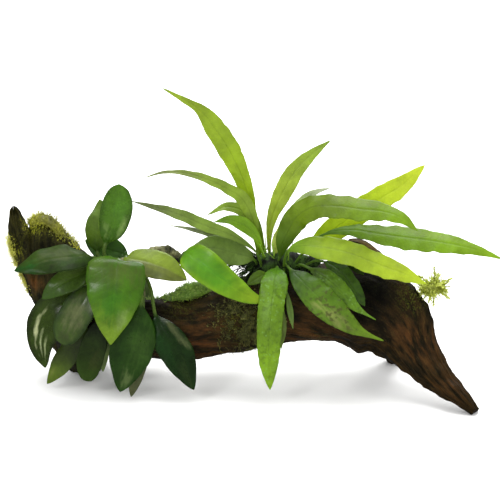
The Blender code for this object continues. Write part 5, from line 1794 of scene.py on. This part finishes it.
@dataclass(frozen=True)
class Studio:
    """The camera at the photograph's angle, soft lights, and a plain pale floor.

    Attributes:
        aim: the point in mm that the picture is centred on.
        picture: side of the square picture in squares.
        sky: brightness of the even light from all round.
        mirrored: its brightness in reflections.
        floor_colour: colour of the floor, 0 to 255.
        lights: name, place in metres, side in metres and power in watts of each soft box.
    """

    aim: Spot = (SHIFT[0], SHIFT[1], VIEW_HEIGHT)
    picture: float = 500.0
    sky: float = 1.5
    mirrored: float = 0.25
    floor_colour: Colour = (247, 247, 246)
    lights: tuple[tuple[str, Spot, float, float], ...] = (
        ("overhead", (0.05, 0.1, 1.4), 0.8, 14.0),
        ("front_left", (-0.8, -1.1, 1.0), 0.3, 5.0),
        ("behind", (0.3, 1.2, 1.0), 0.8, 12.0),
    )

    def build(self) -> None:
        """Sets up the camera, the lights, the sky and the floor."""
        self.add_camera()
        for name, spot, side, power in self.lights:
            self.add_light(name, spot, side, power)
        scene = bpy.context.scene
        scene.world = self.world()
        scene.view_settings.view_transform = "Standard"
        scene.view_settings.look = "None"
        self.add_floor()

    def world(self) -> bpy.types.World:
        """White light from all round, dimmer in reflections so that wet surfaces keep their colour.

        Returns:
            The world.
        """
        world = bpy.data.worlds.new("studio")
        world.use_nodes = True
        nodes, links = world.node_tree.nodes, world.node_tree.links
        path, strength = nodes.new("ShaderNodeLightPath"), nodes.new("ShaderNodeMapRange")
        strength.inputs["To Min"].default_value = self.sky
        strength.inputs["To Max"].default_value = self.mirrored
        links.new(path.outputs["Is Glossy Ray"], strength.inputs["Value"])
        links.new(strength.outputs["Result"], nodes["Background"].inputs["Strength"])
        nodes["Background"].inputs["Color"].default_value = (1, 1, 1, 1)
        return world

    def add_camera(self) -> None:
        """A camera whose picture is as many squares wide as the front view is at its centre."""
        lens = bpy.data.cameras.new("front_view")
        lens.sensor_width = SENSOR
        lens.lens = SENSOR * VIEW_REACH / (self.picture * SQUARE)
        lens.clip_start, lens.clip_end = 0.05, 50.0
        camera = bpy.data.objects.new("front_view", lens)
        bpy.context.scene.collection.objects.link(camera)
        camera.location = (np.array(self.aim) + VIEW_REACH * BACK) * MM
        camera.rotation_euler = (math.pi / 2 - VIEW_TILT, 0, 0)
        bpy.context.scene.camera = camera

    def add_light(self, name: str, spot: Spot, side: float, power: float) -> None:
        """A square soft box that looks at the middle of the object.

        Args:
            name: what the light is called.
            spot: its place in metres.
            side: its side in metres.
            power: its power in watts.
        """
        box = bpy.data.lights.new(name, "AREA")
        box.shape, box.size, box.energy = "SQUARE", side, power
        light = bpy.data.objects.new(name, box)
        bpy.context.scene.collection.objects.link(light)
        light.location = spot
        away = np.array(spot) - np.array(self.aim) * MM
        turn = math.atan2(away[0], -away[1])
        light.rotation_euler = (math.atan2(math.hypot(away[0], away[1]), away[2]), 0, turn)

    def add_floor(self) -> None:
        """A wide flat floor whose tone barely varies. Glossy leaves mirror the dim sky in its place."""
        side = 4.0             # metres from the middle to each edge
        mesh = bpy.data.meshes.new("floor")
        mesh.from_pydata([(-side, -side, 0), (side, -side, 0), (side, side, 0), (-side, side, 0)], [],
                         [(0, 1, 2, 3)])
        floor = bpy.data.objects.new("floor", mesh)
        bpy.context.scene.collection.objects.link(floor)
        recipe = Recipe("floor")
        tone = 0.99 + recipe.clouds(1.5, 1.0) * 0.02
        mesh.materials.append(recipe.finish({
            "Base Color": recipe.shade(self.floor_colour, tone), "Roughness": 0.9}))
        floor.visible_glossy = False


@dataclass(frozen=True)
class Plant:
    """A plant: its creeping stem, its single roots and its leaves."""

    kind: LeafKind
    stem: CreepingStem
    roots: tuple[SingleRoot, ...]
    leaves: tuple[Leaf, ...]

    def build(self, rumple: Rumple) -> None:
        """Makes every piece of the plant.

        Args:
            rumple: the random field.
        """
        self.stem.build(rumple)
        for root in self.roots:
            root.build(rumple)
        for leaf in self.leaves:
            name = f"{self.kind.plant}_{leaf.name}"
            add_piece(name, f"{self.kind.plant}_leaf_{leaf.name}", leaf.skin(self.kind, rumple),
                      leaf.finish.material(name, self.kind))


ANUBIAS_BARK = RootFinish((30, 32, 12), (104, 104, 66))
FERN_BARK = RootFinish((10, 18, 4), (52, 80, 22), 0.6)
PLANTS = (
    Plant(ANUBIAS,
          CreepingStem("anubias_rhizome", (
              (97, 264, 2, 3, 3), (104, 264, 4, 4, 4), (122, 264, 5, 4.6, 4.6), (140, 259, 7, 4.4, 4.4),
              (153, 252, 9, 4.2, 4.2), (167, 251, 9, 4.0, 4.0), (178, 257, 8, 3.6, 3.6),
              (184, 263, 7, 2.4, 2.4)), ANUBIAS_BARK, hairs=26, hair_length=6.0, seed=21),
          (SingleRoot("anubias_root_left", ((128, 264, 8), (135, 282, 22), (137, 303, 22))),
           SingleRoot("anubias_root_right", ((150, 256, 10), (145, 276, 22), (144, 302, 22)))),
          ANUBIAS_LEAVES),
    Plant(FERN,
          CreepingStem("fern_rhizome", (
              (249, 270, 12, 2.6, 3), (257, 266, 11, 6, 6.5), (269, 263, 11, 8.4, 8.6),
              (284, 262, 11, 8.4, 8.6), (298, 262, 10, 6.6, 6.5), (311, 262, 11, 4.4, 4.4),
              (321, 261, 12, 2.4, 2.4)), FERN_BARK, hairs=420, hair_length=8.0, seed=22, beard=260,
              shoots=34),
          (), FERN_LEAVES),
)


def main() -> None:
    """Builds the studio, the wood, both plants and the moss."""
    logging.basicConfig(level=logging.INFO, format="%(name)s: %(message)s", stream=sys.stdout)
    rumple = Rumple(7)
    Studio().build()
    wood = Driftwood()
    wood.build(rumple)
    for plant in PLANTS:
        plant.build(rumple)
    for cushion in CUSHIONS:
        cushion.build(rumple)
    trunk = next(limb for limb in wood.limbs() if limb.name == "trunk")
    MossFelt("moss_trunk_front", trunk, (Stain(246, 321, 19), Stain(228, 313, 10, 0.5), Stain(252, 334, 10)),
             DARK_MOSS, strands=2400, kind=MossKind(3.2, 0.13, 7, 1.3, 0.5), seed=14
             ).build(rumple, wood.stains)
    MossTuft().build()
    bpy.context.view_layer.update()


if __name__ == "__main__":
    main()
